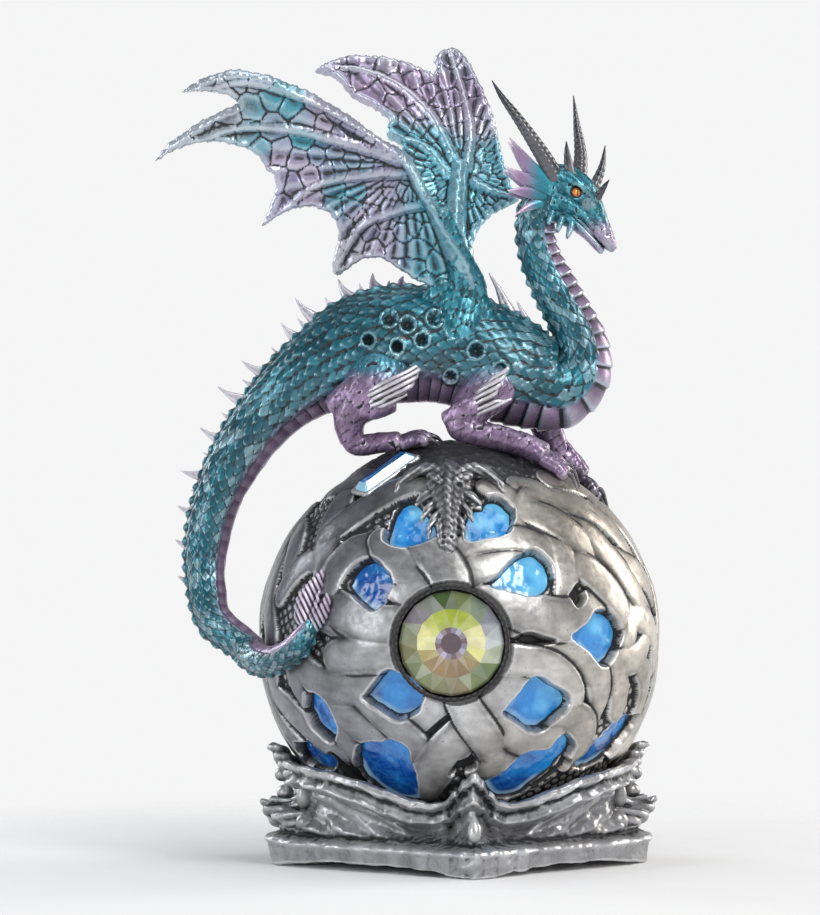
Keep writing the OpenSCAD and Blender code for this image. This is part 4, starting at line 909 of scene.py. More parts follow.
def mask():
    """A small horned reptile head that hangs under the crown."""
    def sk(lon, lat, lift, ra, rb):
        return (*(OC + on_ball(lon, lat) * (R + lift)), ra, rb)
    parts = []

    def add(rows, n=20, gap=0.4, side=(0, 0, 1)):
        d = tube(rows, gap, n, side)
        parts.append((d["V"], d["F"]))
    add([sk(-5.6, 60, 0, 2, 1.6), sk(-5.4, 55, 0.6, 4.6, 2.4), sk(-5, 50, 0.8, 5.4, 2.6),
         sk(-4.6, 45, 0.9, 4.2, 2.6), sk(-4, 39, 1.0, 2.6, 2.4),
         sk(-3.7, 33, 1.0, 1.9, 2.0), sk(-3.5, 29, 0.8, 1.8, 1.6), sk(-3.4, 26.6, 0.2, 0.8, 0.9)],
         side=(1, 0, 0))
    add([sk(-5.2, 56, 2.4, 1, 0.8), sk(-4.6, 47, 3.2, 1.2, 0.9), sk(-4, 38, 2.9, 0.8, 0.7),
         sk(-3.6, 30, 2.1, 0.9, 0.6)], side=(1, 0, 0))
    for s in (-1, 1):
        c = -4.8
        add([sk(c + s * 1.6, 47, 2.8, 0.9, 0.7), sk(c + s * 5, 49.5, 2.9, 1.3, 1),
             sk(c + s * 9, 52.5, 1.8, 1.1, 0.9)])
        add([sk(c + s * 4, 53, 1.6, 1.6, 1.5), sk(c + s * 10, 55.5, 1.8, 1.6, 1.6),
             sk(c + s * 17, 55, 1.4, 1.3, 1.3), sk(c + s * 22, 51, 0.8, 0.9, 0.9),
             sk(c + s * 23, 47.6, 0.2, 0.35, 0.35)])
        add([sk(c + s * 5.6, 46, 1.1, 1.2, 1), sk(c + s * 9.4, 45, 0.9, 1.1, 0.9),
             sk(c + s * 12.4, 42.6, 0.1, 0.4, 0.4)])
        add([sk(c + s * 4.4, 43, 1.1, 1, 0.9), sk(c + s * 7.4, 40, 0.8, 0.9, 0.8),
             sk(c + s * 9, 36.6, 0.1, 0.35, 0.35)])
        add([sk(c + s * 3, 39, 1.1, 0.8, 0.8), sk(c + s * 5.2, 35, 0.8, 0.8, 0.7),
             sk(c + s * 5.6, 31, 0.1, 0.3, 0.3)])
        add([sk(c + s * 1.8, 36, 2, 0.6, 0.6), sk(c + s * 1.7, 31.4, 1.8, 0.8, 0.7),
             sk(c + s * 1, 28.4, 1.2, 0.5, 0.5)], side=(1, 0, 0))
    V, F = fused(parts, 0.24, 1)
    N = normals(V, F)
    for s in (-1, 1):
        for lon, lat, size, deep in ((-4.8 + s * 4.2, 47.4, 1.0, 0.9), (-4 + s * 1.2, 30.4, 0.5, 0.5)):
            c = OC + on_ball(lon, lat) * (R + 2.4)
            d = np.linalg.norm(V - c, axis=1)
            V = V - N * (deep * step(size * 1.3, 0.2, d))[:, None]
    ridge = np.abs(((V[:, 2] - OC[2]) * 1.1 + np.abs(V[:, 0] + 3.6) * 0.8) % 1.9 - 0.95)
    V = V + N * (0.2 * (ridge - 0.4))[:, None] + 0.08 * N * noise(V, 1.1, 5)[:, None]
    build("mask_carving", V, F, np.tile([0.2, 0.2, 0.215], (len(V), 1)),
          np.clip(crease(V, F, 5, 0.1) + 0.04, 0, 1), SILVER,
          ["mask_relief", "mask_horns"])


crystal()
bar_gem()
mask()


# ---------------------------------------------------------------- the base
def table_at(x, rows):
    xs, ys = [r[0] for r in rows], [r[1] for r in rows]
    t = np.interp(x, xs, np.arange(len(xs)))
    i = np.clip(t.astype(int), 0, len(xs) - 2)
    f = t - i
    f = f * f * (3 - 2 * f)
    ys = np.array(ys, float)
    return ys[i] * (1 - f) + ys[i + 1] * f


base_lo, base_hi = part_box("base_casting")
TIP = (base_hi.x - base_lo.x) / 2 / MM
RIM = [(0, 24.4), (3, 22.6), (6, 20.0), (11, 17.2), (16, 16.6), (23, 17.4), (32, 19.8), (42, 22.2),
       (54, 23.6), (70, 24.4), (90, 25.4)]
RIDGE = [(0, 17.5), (4, 15.6), (9, 12.8), (16, 11.4), (25, 11.8), (34, 14.0), (44, 17.0), (56, 19.4),
         (70, 20.4), (90, 19.5)]
PLAN = [(0, 1.0), (3, 0.985), (8, 0.93), (16, 0.85), (26, 0.785), (38, 0.765), (52, 0.785), (66, 0.85),
        (78, 0.94), (86, 0.99), (90, 1.0)]
BOTTOM = [(0, 0.0), (5, 0.2), (14, 1.2), (35, 1.9), (60, 1.9), (76, 1.0), (86, 0.1), (90, 0.0)]


def base():
    n = 1300
    m = 210
    phi = np.arange(n) * 360.0 / n
    # angle from the front or back prow, mirrored on both sides
    q = np.abs((phi + 90) % 180 - 90)
    rim, ridge, plan, foot = table_at(q, RIM), table_at(q, RIDGE), table_at(q, PLAN) * TIP, table_at(q,
            BOTTOM)
    t = np.linspace(0, 1, m)[:, None]
    plinth = 6.4 + 0.5 * step(70, 90, q)
    z_out = foot + (rim - foot) * np.clip(t / 0.86, 0, 1)
    orb_in = np.sqrt(np.clip((R + 0.5) ** 2 - (z_out - OC[2]) ** 2, 1, None))
    # plinth band, cove, second ridge, groove and rim
    r = plan * (0.975 + 0.025 * step(0.2, plinth, z_out))
    r = r - 0.045 * plan * step(plinth - 0.2, plinth + 1.4, z_out)
    wall = orb_in + 4.6
    up = step(0, 1, (z_out - plinth) / np.maximum(ridge - plinth, 1))
    body = r * (1 - up) + np.maximum(wall + 1.0,
                                     r * 0.86 * step(30, 80, q) + wall * (1 - step(30, 80, q))) * up
    r = np.where(z_out > plinth, body, r)
    over = step(0, 1, (z_out - ridge) / np.maximum(rim - ridge, 1))
    r = np.where(z_out > ridge, r * (1 - over) + (orb_in + 3.2) * over, r)

    def bump(at, width, high):
        return high * np.exp(-((z_out - at) / width) ** 2)
    r = r + bump(plinth - 0.9, 0.8, 0.75) + bump(ridge, 1.0, 1.7) - bump((ridge + rim) / 2 + 0.3, 1.0,
            1.5) + bump(rim - 1.5, 1.25, 1.7)
    r = r - bump(plinth + 1.2, 0.8, 0.9) - bump(ridge - 2.0, 0.7, 0.7)
    # flowing folds on the prow and arms, a keel down each prow
    keel = np.exp(-(q / 3.2) ** 2) * step(plinth - 1, plinth + 3, z_out)
    r = r + 1.7 * keel - 1.4 * np.exp(-((q - 7) / 2.6) ** 2) * step(plinth, plinth + 3,
            z_out) * step(rim - 1, rim - 4, z_out)
    fold = np.sin((z_out * 0.9 - q * 0.28) * 1.5) * 0.5 * step(plinth + 1, plinth + 3, z_out) * step(ridge,
            ridge - 2, z_out)
    fold += 0.55 * np.sin(q * 0.5 + z_out * 0.35) * step(54, 62, q) * step(plinth + 1, plinth + 4,
            z_out) * step(rim - 1, rim - 3, z_out)
    r = r + fold
    # the diamond facet low on each prow
    dia = 1 - (np.abs(q * 0.8) / 4.6 + np.abs(z_out - 2.6) / 3.6)
    r = r + 1.0 * np.clip(dia, 0, 0.55)
    top_in = np.clip((t - 0.86) / 0.14, 0, 1)
    z = np.where(t > 0.86, rim + 0.9 * np.sin(top_in * math.pi) - 3.6 * top_in ** 2, z_out)
    orb_z = np.sqrt(np.clip((R + 0.3) ** 2 - (z - OC[2]) ** 2, 1, None))
    r_rim = r[np.argmax(t[:, 0] >= 0.86) - 1][None, :]
    r = np.where(t > 0.86, r_rim * (1 - top_in) + (orb_z - 0.4) * top_in, r)
    ang = np.radians(phi + math.degrees(math.asin(min(0.2, 3.3 / TIP))))
    V = np.stack([r * np.sin(ang), -r * np.cos(ang), z + 0 * r], -1)
    V = V.reshape(-1, 3)
    i, j = np.meshgrid(np.arange(m - 1), np.arange(n), indexing="ij")
    a, b = (i * n + j).ravel(), (i * n + (j + 1) % n).ravel()
    F = np.stack([a, b, b + n, a + n], 1)
    # the underside closes to the light unit's bore
    bore = 23.3
    ring = V[:n].copy()
    k = bore / np.linalg.norm(ring[:, :2], axis=1)
    ring[:, :2] *= k[:, None]
    rise = ring.copy()
    rise[:, 2] = 9.0
    at = len(V)
    V = np.vstack([V, ring, rise])
    jj = np.arange(n)
    F = np.vstack([F, np.stack([jj, at + jj, at + (jj + 1) % n, (jj + 1) % n], 1),
                   np.stack([at + jj, at + n + jj, at + n + (jj + 1) % n, at + (jj + 1) % n], 1)])
    N = normals(V, F)
    lump = 0.28 * fbm(V, 4.5, 31) + 0.12 * noise(V, 1.3, 33)
    calm = np.ones(len(V))
    calm[at:] = 0
    V = V + N * (lump * calm)[:, None]
    V[:, 2] = np.maximum(V[:, 2], base_lo.z / MM + 0.01)
    cav = 0.5 * crease(V, F, 4, 0.1) + 0.5 * crease(V, F, 14, 0.5)
    paint = np.tile([0.42, 0.42, 0.435], (len(V), 1)).astype(float)
    # painted highlights along the rim, ridge and plinth band, broken up by noise
    bright = np.zeros(len(V))
    bright[:at] = (np.exp(-((z_out - rim + 1.3) / 1.3) ** 2) + 0.8 * np.exp(-((z_out - ridge) / 0.9) ** 2)
                   + 0.9 * np.exp(-((z_out - plinth + 0.8) / 0.8) ** 2)).ravel()
    bright = np.clip(bright * (0.65 + 0.5 * noise(V, 6, 8)), 0, 1)
    paint = mix(paint, (0.72, 0.73, 0.75), bright)
    # painted shade in the grooves above the plinth and between ridge and rim
    dark = np.zeros(len(V))
    dark[:at] = (np.exp(-((z_out - plinth - 1.6) / 1.1) ** 2)
                 + np.exp(-((z_out - (ridge + rim) / 2) / 1.0) ** 2)).ravel()
    cav = np.clip(cav + 0.16 * np.clip(dark, 0, 1) - 0.06 * bright, 0, 1)
    build("base_body", V, F, paint, cav, SILVER, ["base_casting", "base_rims"])


def arm_point(out, across, z, arm):
    """A place on an arm of the base: out along it, across it and up."""
    a = math.radians(90 * arm + 4)
    return np.array([out * math.sin(a) + across * math.cos(a), -out * math.cos(a) + across * math.sin(a),
                     z])


def base_trim():
    scroll, beads, almonds = [], [], []
    for arm in (1, 3):
        for s in (-1, 1):
            def P(out, ac, z, ra, rb, s=s, arm=arm):
                return (*arm_point(out, s * ac, z, arm), ra, rb)
            # leaf that runs out to the arm's tip, and the curled head over it
            for rows in ([P(TIP - 10, 9, 11, 1.5, 2.6), P(TIP - 5, 6, 11.6, 1.6, 2.4),
                          P(TIP - 1.2, 2.4, 13.4, 1.1, 1.5), P(TIP + 1.2, 0.4, 15.6, 0.5, 0.6)],
                         [P(TIP - 10, 7, 16, 1.2, 2), P(TIP - 6, 4.6, 14.6, 1.1, 1.6),
                          P(TIP - 1, 2, 15.4, 0.7, 0.9)],
                         [P(TIP - 9, 8.4, 20.4, 1.6, 2.2), P(TIP - 6.4, 5, 22.4, 1.7, 2.2),
                          P(TIP - 4, 2.4, 25.4, 1.5, 1.7), P(TIP - 2.4, 0.8, 28.6, 1.0, 1.1)]):
                d = tube(rows, 0.4, 20)
                scroll.append((d["V"], d["F"]))
        d = tube([(*arm_point(TIP - 8, 0, 10, arm), 4, 3), (*arm_point(TIP - 3, 0, 11, arm), 3.4, 2.2),
                  (*arm_point(TIP + 0.6, 0, 14, arm), 1, 0.8)], 0.4, 24)
        scroll.append((d["V"], d["F"]))
        d = tube([(*arm_point(TIP - 7, 0, 22, arm), 2.6, 2.6),
                  (*arm_point(TIP - 4.6, 0, 25.4, arm), 2.3, 2.2),
                  (*arm_point(TIP - 1.8, 0, 28.4, arm), 1.3, 1.3),
                  (*arm_point(TIP - 0.6, 0, 28.2, arm), 0.7, 0.7)], 0.4, 20)
        scroll.append((d["V"], d["F"]))
        for out, ac, z, r in ((TIP - 4.6, 0.2, 17.2, 2.1), (TIP - 3.8, 0.2, 21.6, 1.8)):
            beads.append(ball(arm_point(out, ac, z, arm), r, 28, (1, 1, 0.94)))
        for s in (-1, 1):
            beads.append(ball(arm_point(TIP - 9.2, s * 9.6, 10.6, arm), 2.6, 30, (1, 1, 0.95)))
            beads.append(ball(arm_point(TIP - 8.6, s * 8.6, 16.8, arm), 1.9, 28, (0.9, 0.9, 1.65)))
    for arm in (0, 2):
        d = tube([(*arm_point(TIP - 2.6, 0, 8.0, arm), 0.3, 0.3),
                  (*arm_point(TIP - 1.7, 0, 9.6, arm), 1.35, 1.2),
                  (*arm_point(TIP - 2.2, 0, 12.0, arm), 1.5, 1.3),
                  (*arm_point(TIP - 3.8, 0, 14.6, arm), 0.3, 0.3)], 0.2, 24, (1, 0, 0))
        almonds.append((d["V"], d["F"]))
    V, F = fused(scroll, 0.3, 2)
    V = V + normals(V, F) * (0.25 * np.sin(V[:, 2] * 2.4 + V[:, 1] * 0.9) + 0.2 * fbm(V, 3, 4))[:, None]
    build("arm_leaves", V, F, np.tile([0.3, 0.3, 0.315], (len(V), 1)), crease(V, F, 8, 0.22), SILVER,
          ["arm_scrolls"])
    for name, parts, nodes_, tone in (("arm_beads", beads, ["side_beads"], 0.5),
                                      ("prow_beads", almonds, ["almond_beads"], 0.74)):
        V, F = join(parts)
        V = V + normals(V, F) * (0.06 * noise(V, 1.5, 3))[:, None]
        # painted light: each bead is painted pale on top and dark underneath, with painted shade added
        # underneath
        up = np.clip(normals(V, F)[:, 2] * 0.5 + 0.5, 0, 1)
        build(name, V, F, mix((0.16, 0.16, 0.17), (tone + 0.2,) * 3, up), 0.42 + 0.3 * (1 - up) ** 3,
              SILVER, nodes_)


base()
base_trim()


# ---------------------------------------------------------------- the dragon
TEAL, DEEP, CYAN = (0.014, 0.235, 0.32), (0.006, 0.085, 0.12), (0.12, 0.5, 0.62)
PLUM, DUSK, LILAC = (0.33, 0.22, 0.38), (0.15, 0.105, 0.18), (0.52, 0.42, 0.56)
PALE, INK = (0.62, 0.63, 0.66), (0.02, 0.022, 0.027)


def fig(p):
    """A figure point, drawn in mm over the crown, in the row frame."""
    return np.asarray(p, float) * FIG + np.array([0, 0, CROWN])


def figrow(x, y, z, a, b):
    """A row of a sweep, with its two radii, in the row frame."""
    return (*fig((x, y, z)), a * FIG, b * FIG)


def crown_z(x, y):
    """The orb's height at a place, under its crown."""
    return math.sqrt(max(1, R * R - x * x - y * y)) - R


def laid(row, gap=0.3, always=True):
    """A row of a sweep laid against the orb, or pushed clear of it."""
    p = fig(row[:3]) - OC
    need = R + row[4] + gap
    d = np.linalg.norm(p)
    if always or d < need:
        p = p * need / d
    return (*(p + OC), row[3] * FIG, row[4] * FIG)


TAIL_ROWS = [laid(r) for r in ((-35.4, -35.4, -42.4, 1.2, 1.2), (-36.2, -35, -45, 2, 2),
                               (-38.4, -32.4, -48.4, 2.5, 2.5), (-43, -27, -51.4, 2.9, 3),
                               (-48.6, -20, -51.6, 3.3, 3.4), (-53.6, -13.6, -49, 3.6, 3.7))]
TAIL_ROWS += [laid(r, 0.3, False) for r in ((-57.8, -8.4, -43.6, 3.9, 4), (-60.2, -4.6, -36.4, 4.2, 4.4),
                                            (-60.6, -2, -28, 4.5, 4.8), (-59.5, -0.8, -20, 4.8, 5.2))]
SPINE_ROWS = [figrow(*r) for r in (
    (-57, -0.2, -12, 5.1, 5.6), (-53.6, 0, -5, 5.6, 6.1), (-49, 0, 1.8, 6.2, 6.8), (-43, 0, 8.6, 7, 8),
    (-38, 0, 13, 7.8, 9.2), (-32, 0, 17, 8.6, 10.8),
    (-25, 0, 20.4, 9, 13), (-16, 0, 22.6, 9.2, 13.8), (-6, 0, 22.6, 9, 13.4), (3, 0, 20.4, 8.8, 13),
    (11, 0, 16.8, 8.8, 12.4), (18, 0, 13.6, 8.4, 11),
    (24, 0, 12.2, 7.6, 9.4), (28.4, 0, 14.4, 6.6, 7.5), (30.2, 0, 19, 5.9, 6.3), (29.6, 0, 24.6, 5.3, 5.6),
    (27, 0, 30, 4.9, 5.2), (23.6, 0, 36, 4.4, 4.7),
    (20.6, 0, 42, 4, 4.2), (18.9, 0, 48, 3.8, 3.8), (19, 0, 53.4, 3.9, 3.9), (20.4, 0, 57, 4, 4.2),
    (22.6, -0.4, 59.6, 3.8, 4))]
BODY_ROWS = TAIL_ROWS + SPINE_ROWS


def seeds_on(rows, size, ratio, side=(0, 1, 0), spacing=0.95):
    """Scale places along a sweep: centres, tail-ward directions, half widths and half lengths."""
    P = curve(rows, 0.3)
    T, Q, B = frames(P, side)
    s = np.concatenate([[0], np.cumsum(np.linalg.norm(np.diff(P[:, :3], axis=0), axis=1))])
    out, tips, w, ln = [], [], [], []
    at, k = 0.0, 0
    while at < s[-1]:
        i = min(int(np.searchsorted(s, at)), len(s) - 1)
        ra, rb = P[i, 3], P[i, 4]
        half = size((ra + rb) / 2, P[i, :3])
        n = max(6, int(round(2 * math.pi * math.sqrt((ra * ra + rb * rb) / 2) / (2 * half * 0.9))))
        for j in range(n):
            th = 2 * math.pi * (j + 0.5 * (k % 2) + 0.16
                                * (hash01(np.array([k]), np.array([j]))[0] - 0.5)) / n
            out.append(P[i, :3] + ra * math.cos(th) * Q[i] + rb * math.sin(th) * B[i])
            tips.append(-T[i])
            w.append(half)
            ln.append(half * ratio)
        at += half * ratio * spacing
        k += 1
    return np.array(out), np.array(tips), np.array(w), np.array(ln)


def body():
    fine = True
    d = tube(BODY_ROWS, 0.34 if fine else 0.6, 216 if fine else 120)
    V, F, O, th, s = d["V"], d["F"], d["O"], d["th"], d["s"]
    seeds, tips, w, ln = seeds_on(BODY_ROWS, lambda r, p: min(max(0.16 * r + 0.38, 0.55), 1.5), 1.45)
    h, edge, u, idx = scales(V, O, seeds, tips, w * 1.12, ln, 7, 0.5, 0.3)
    amp = np.clip(w[idx] / 1.2, 0.4, 1.05)
    sn = np.sin(th)
    x, z = V[:, 0], V[:, 2] - CROWN
    total = s.max()
    neck = step(total - 78, total - 66, s)
    tail = step(112, 92, s)
    belly = step(0.5 - 0.12 * neck, 0.66 - 0.12 * neck, sn + 0.05 * noise(V, 3, 2))
    # belly plates
    length = np.where(neck > 0.5, 3.1, 3.8)
    grow = s / length
    frac = grow - np.floor(grow)
    plates = 0.75 * (1 - frac) ** 0.7 * step(0, 0.1, frac)
    plates = plates * (0.25 + 0.75 * np.maximum(neck, step(150, 165, s)))
    skin = 0.18 * fbm(V, 4, 5) - 0.15
    hb = plates * (1 - tail * 0.85) + skin * tail
    high = h * amp * (1 - belly) + hb * belly
    # back crest between the spikes
    crest = step(-0.955, -0.995, sn)
    high = high + crest * (0.55 + 0.35 * np.sin(s * 2.1))
    # muscles and folds under the skin
    big = 0.5 * fbm(V, 13, 6, 2)
    sh = np.exp(-(((x - 8) / 9) ** 2 + ((z - 17) / 8) ** 2)) * np.abs(np.cos(th)) * 1.8
    hip = np.exp(-(((x + 20) / 9) ** 2 + ((z - 18) / 9) ** 2)) * np.abs(np.cos(th)) * 2.0
    high = high + big + sh + hip
    # rosettes with dark centres on the flanks
    ros = np.zeros(len(V))
    hole = np.zeros(len(V))
    for rx, rz, rad in ((-17, 29, 2.1), (-12.5, 27.6, 1.9), (-6, 29, 2.1), (-9, 24, 1.8), (4, 21.5, 2.0),
                        (-2, 15.5, 1.7), (-22, 24, 1.6), (-1.5, 26, 1.7), (-15, 22.5, 1.6), (10, 17, 1.6)):
        q = np.hypot(x - rx, z - rz)
        on = (np.abs(np.cos(th)) > 0.35) & (q < rad * 1.3)
        petal = 0.12 * np.cos(np.arctan2(z - rz, x - rx) * 7)
        ros = np.where(on, step(rad * 1.3, rad * 0.95, q) * (0.75 + petal) - 1.0
                       * step(rad * 0.55, rad * 0.15, q), ros)
        hole = np.where(on, step(rad * 0.6, rad * 0.2, q), hole)
        high = np.where(on, high * step(rad * 0.5, rad * 1.25, q) + ros, high)
    V = V + O * high[:, None]
    # the torso stays over the orb's skin
    d0 = np.linalg.norm(V - OC, axis=1)
    V = np.where((d0 < R + 0.4)[:, None], OC + (V - OC) * ((R + 0.4) / d0)[:, None], V)
    cav = crease(V, F, 3, 0.14) * 0.55 + crease(V, F, 10, 0.45) * 0.45
    flank = 1 - belly
    # painted shade in the grooves round each scale and in the seams between belly plates, a painted highlight
    # on scale tips, and darker rosette centres
    cav = cav + 0.42 * flank * step(0.3, 0.03, edge) - 0.1 * flank * step(0.4, 0.95, u) * (edge > 0.25)
    cav = cav + 0.2 * belly * (1 - tail) * (step(0.1, 0.0, frac) + step(0.9, 1.0, frac)) + 0.5 * hole
    tone = hash01(idx, 7)
    up = -sn
    paint = mix(DEEP, TEAL, np.clip(0.05 + 0.7 * tone + 0.4 * noise(V, 14, 3), 0, 1))
    paint = mix(paint, CYAN, 0.4 * step(0.66, 0.98, tone) * step(-0.2, 0.6, noise(V, 18, 4) + 0.3))
    paint = mix(paint, DEEP, 0.6 * step(0.62, 0.95, up) * (1 - neck))
    chest = np.exp(-(((x - 20) / 10) ** 2 + ((z - 11) / 9) ** 2)) * (1 - neck)
    paint = mix(paint, (0.1, 0.42, 0.5), chest * 0.75)
    paint = mix(paint, PALE, 0.3 * chest + 0.22 * neck * step(0.4, 0.8, tone) + 0.3 * tail
                * step(0.55, 0.9, tone) * step(0.2, 0.7, np.abs(np.cos(th))))
    lower = step(-0.15, 0.45, sn) * (1 - belly)
    paint = mix(paint, (0.2, 0.3, 0.36), 0.25 * lower * (1 - neck))
    plum = mix(mix(DUSK, PLUM, np.clip(0.5 + 0.6 * noise(V, 7, 9), 0, 1)), LILAC,
               step(0.2, 0.7, 1 - frac) * 0.5)
    paint = mix(paint, plum, belly)
    blend = step(0.34, 0.6, sn) * (1 - belly) * 0.5
    paint = mix(paint, PLUM, blend)
    build("dragon_body", V, F, paint, np.clip(cav, 0, 1), SCALES,
          ["dragon_torso", "dragon_neck", "tail_root", "tail_sweep", "tail_end"])


def part(rows, n=28, gap=0.4, side=(0, 1, 0)):
    d = tube([figrow(*r) for r in rows], gap, n, side)
    return d["V"], d["F"]


def skin_piece(name, parts, voxel, paint_of, nodes_, mat, seeds_gap=1.5, lift=0.32, tips=(0, 0, -1),
               relax=2, sharp=0.13, ratio=1.25, shape=None):
    """Shapes grown together, then covered in small overlapping scales and painted."""
    V, F = fused(parts, voxel * (1), relax)
    if shape:
        V = shape(V, normals(V, F))
    N = normals(V, F)
    if lift:
        rng = np.random.default_rng(len(V) % 1000 + 3)
        order = rng.permutation(len(V))
        taken, cell = [], {}
        for i in order:
            key = tuple(np.floor(V[i] / seeds_gap).astype(int))
            if key not in cell:
                cell[key] = i
                taken.append(i)
        S = V[taken]
        t = np.tile(np.asarray(tips, float), (len(S), 1))
        hh, edge, _, idx = scales(V, N, S, t, np.full(len(S), seeds_gap * 0.72),
                                  np.full(len(S), seeds_gap * 0.72 * ratio), 6, lift, lift * 0.6)
        V = V + N * hh[:, None]
    else:
        edge, idx = np.ones(len(V)), np.zeros(len(V), int)
    # painted shade in the grooves round each scale
    cav = crease(V, F, 3, sharp) * 0.5 + crease(V, F, 11, sharp * 3.4) * 0.5 + 0.14 * step(0.16, 0.0, edge)
    paint, extra = paint_of(V, N, idx)
    return build(name, V, F, paint, np.clip(cav + extra, 0, 1), mat, nodes_)


def leg_rows(s, rows):
    return [(x, s * y, z, a, b) for x, y, z, a, b in rows]


def toes(s, x, y, lead, spread, r, count=3):
    """Toes that follow the crown from the paw, and the claws on them."""
    out, claws = [], []
    for k in range(count):
        o = (k - (count - 1) / 2)
        x0, y0 = x, s * y + o * spread * 0.6
        x1, y1 = x + lead * 0.55, s * y + o * spread
        x2, y2 = x + lead * (1 - 0.12 * abs(o)), s * y + o * spread * 1.25
        x3, y3 = x2 + 3.2, y2 + o * 0.3
        out.append([(x0, y0, crown_z(x0, y0) + r + 0.9, r, r),
                    (x1, y1, crown_z(x1, y1) + r * 1.3 + 0.8, r * 0.95, r * 0.95),
                    (x2, y2, crown_z(x2, y2) + r + 0.5, r * 0.9, r * 0.8)])
        claws.append([(x2 - 0.5, y2, crown_z(x2, y2) + r + 0.9, r * 0.6, r * 0.6),
                      ((x2 + x3) / 2, y3, crown_z(x2, y2) + r + 0.7, r * 0.45, r * 0.45),
                      (x3, y3, crown_z(x3, y3) + 0.5, 0.15, 0.15)])
    return out, claws


def legs():
    def plum_paint(V, N, idx):
        tone = hash01(idx, 11)
        p = mix(DUSK, PLUM, np.clip(0.35 + 0.7 * tone + 0.4 * noise(V, 6, 4), 0, 1))
        # lilac on random scales is the paint's own tone; keeping it to skin that faces up makes it a painted
        # highlight from above
        p = mix(p, LILAC, 0.5 * step(0.5, 0.95, tone) * step(-0.2, 0.5, N[:, 2] + 0.2))
        hi = step(CROWN + 12, CROWN + 19, V[:, 2] + 1.5 * noise(V, 5, 6))
        p = mix(p, TEAL, hi * 0.9)
        p = mix(p, INK, 0.75 * step(CROWN - 1, CROWN - 6, V[:, 2]) * step(0.1, 0.7, noise(V, 4, 2) + 0.3))
        return p, 0.06 * np.ones(len(V))
    claws = []
    hind = [(-16, 5.5, 20, 4, 7), (-18.6, 8.8, 16, 4.2, 7.2), (-22.5, 10.4, 10.8, 4, 5.8),
            (-26, 10.4, 6.0, 3.2, 3.8), (-26.2, 9.6, 1.8, 2.6, 2.8), (-24.4, 8.8, -1.2, 2.4, 2.3),
            (-19.6, 8.6, -0.8, 2.8, 2.1), (-14.5, 8.8, -0.4, 3, 2)]
    fore_near = [(11, 5, 17, 3.4, 6), (8, 8.4, 13, 3.6, 5.8), (3, 10.6, 7.6, 3.2, 4.4),
                 (0.4, 11.6, 3.4, 2.8, 3.3), (4.6, 12.2, 1.6, 2.6, 2.8), (10.4, 12.8, 0.2, 2.5, 2.6),
                 (15.6, 13.4, -1.4, 2.7, 2.5), (20, 13.8, -3.4, 3.2, 2.3)]
    fore_far = [(18, 5, 13, 3.2, 5), (20, 8, 9, 3.2, 4.6), (21.4, 10, 3.4, 2.8, 3.6),
                (23.4, 11, -1.4, 2.6, 3), (27, 11.6, -5.2, 2.8, 2.6), (30, 12, -8.4, 3, 2.2)]
    for name, nodes_, s, rows, toe in (("near_hind", ["near_hind_leg"], -1, hind,
                                        (-13.6, 8.8, 6.4, 2.6, 1.25)), ("far_hind", ["far_hind_leg"], 1,
                                                hind, (-13.6, 8.8, 6.4, 2.6, 1.25)),
                                       ("near_fore", ["near_foreleg"], -1, fore_near,
                                        (20, 13.8, 5.4, 2.5, 1.3)), ("far_fore", ["far_foreleg"], 1,
                                                fore_far, (29.6, 12, 4.2, 2.4, 1.2))):
        t, c = toes(s, *toe)
        claws += c
        parts = [part(leg_rows(s, rows))] + [part(q, 16) for q in t]
        if "hind" in name:
            parts.append(part(leg_rows(s, [(-30, 9.6, 7.4, 1.6, 2.6), (-27, 11.2, 10, 1.8, 3), (-22, 12,
                    14.6, 1.6, 2.6)])))
            parts.append(part(leg_rows(s, [(-16, 11.6, 9, 1, 2), (-21, 13, 7.4, 1.2, 2.2), (-26, 12.6, 8, 1,
                    1.6)])))
        if name == "near_fore":
            parts.append(part([(-3, -12, 4.4, 1.2, 2), (1, -13.4, 6.8, 1.3, 2.2),
                               (6, -12.6, 9.6, 1.1, 1.8)]))
        skin_piece(name + "_limb", parts, 0.3, plum_paint, nodes_, SKIN, 1.7, 0.34,
                   (-0.5, 0, -0.9))
    d = [part(c, 14, 0.25) for c in claws]
    V, F = join(d)
    build("claw_set", V, F, np.tile([0.16, 0.15, 0.165], (len(V), 1))
          * (0.7 + 0.5 * hash01(np.arange(len(V)) // 40, 3))[:, None], 0.45, HORN,
          ["dragon_claws"])
    # silver crescents on thigh and elbow
    parts = [part([(-22, -13.6, 10.6, 0.9, 1.1), (-18.4, -15.2, 11.4, 1.2, 2.2),
                   (-13.6, -15.4, 13.4, 1.1, 2.4), (-9.8, -14, 17.2, 0.4, 0.9)], 22),
             part([(-22.6, -13.4, 8.4, 0.7, 0.9), (-17.6, -14.9, 8.9, 0.9, 1.2),
                   (-12.6, -14.6, 11, 0.3, 0.5)], 18),
             part([(4, -13, 8, 1.4, 2.2), (7, -14.8, 11.6, 1.2, 2.0), (11.6, -15.4, 17.4, 0.25, 0.35)], 20),
             part([(3.4, -13, 6.4, 1, 1.2), (7.6, -14.6, 8, 0.8, 1.2), (12.4, -14.6, 9.6, 0.25, 0.3)], 18)]
    V, F = fused(parts, 0.24, 1)
    N = normals(V, F)
    V = V + N * (0.14 * np.sin((V[:, 2] - 0.5 * V[:, 0]) * 4.2))[:, None]
    build("limb_crescents", V, F, mix(PALE, LILAC, 0.3 + 0.3 * noise(V, 3, 2)), crease(V, F, 6, 0.12), SKIN,
          ["leg_spurs"])


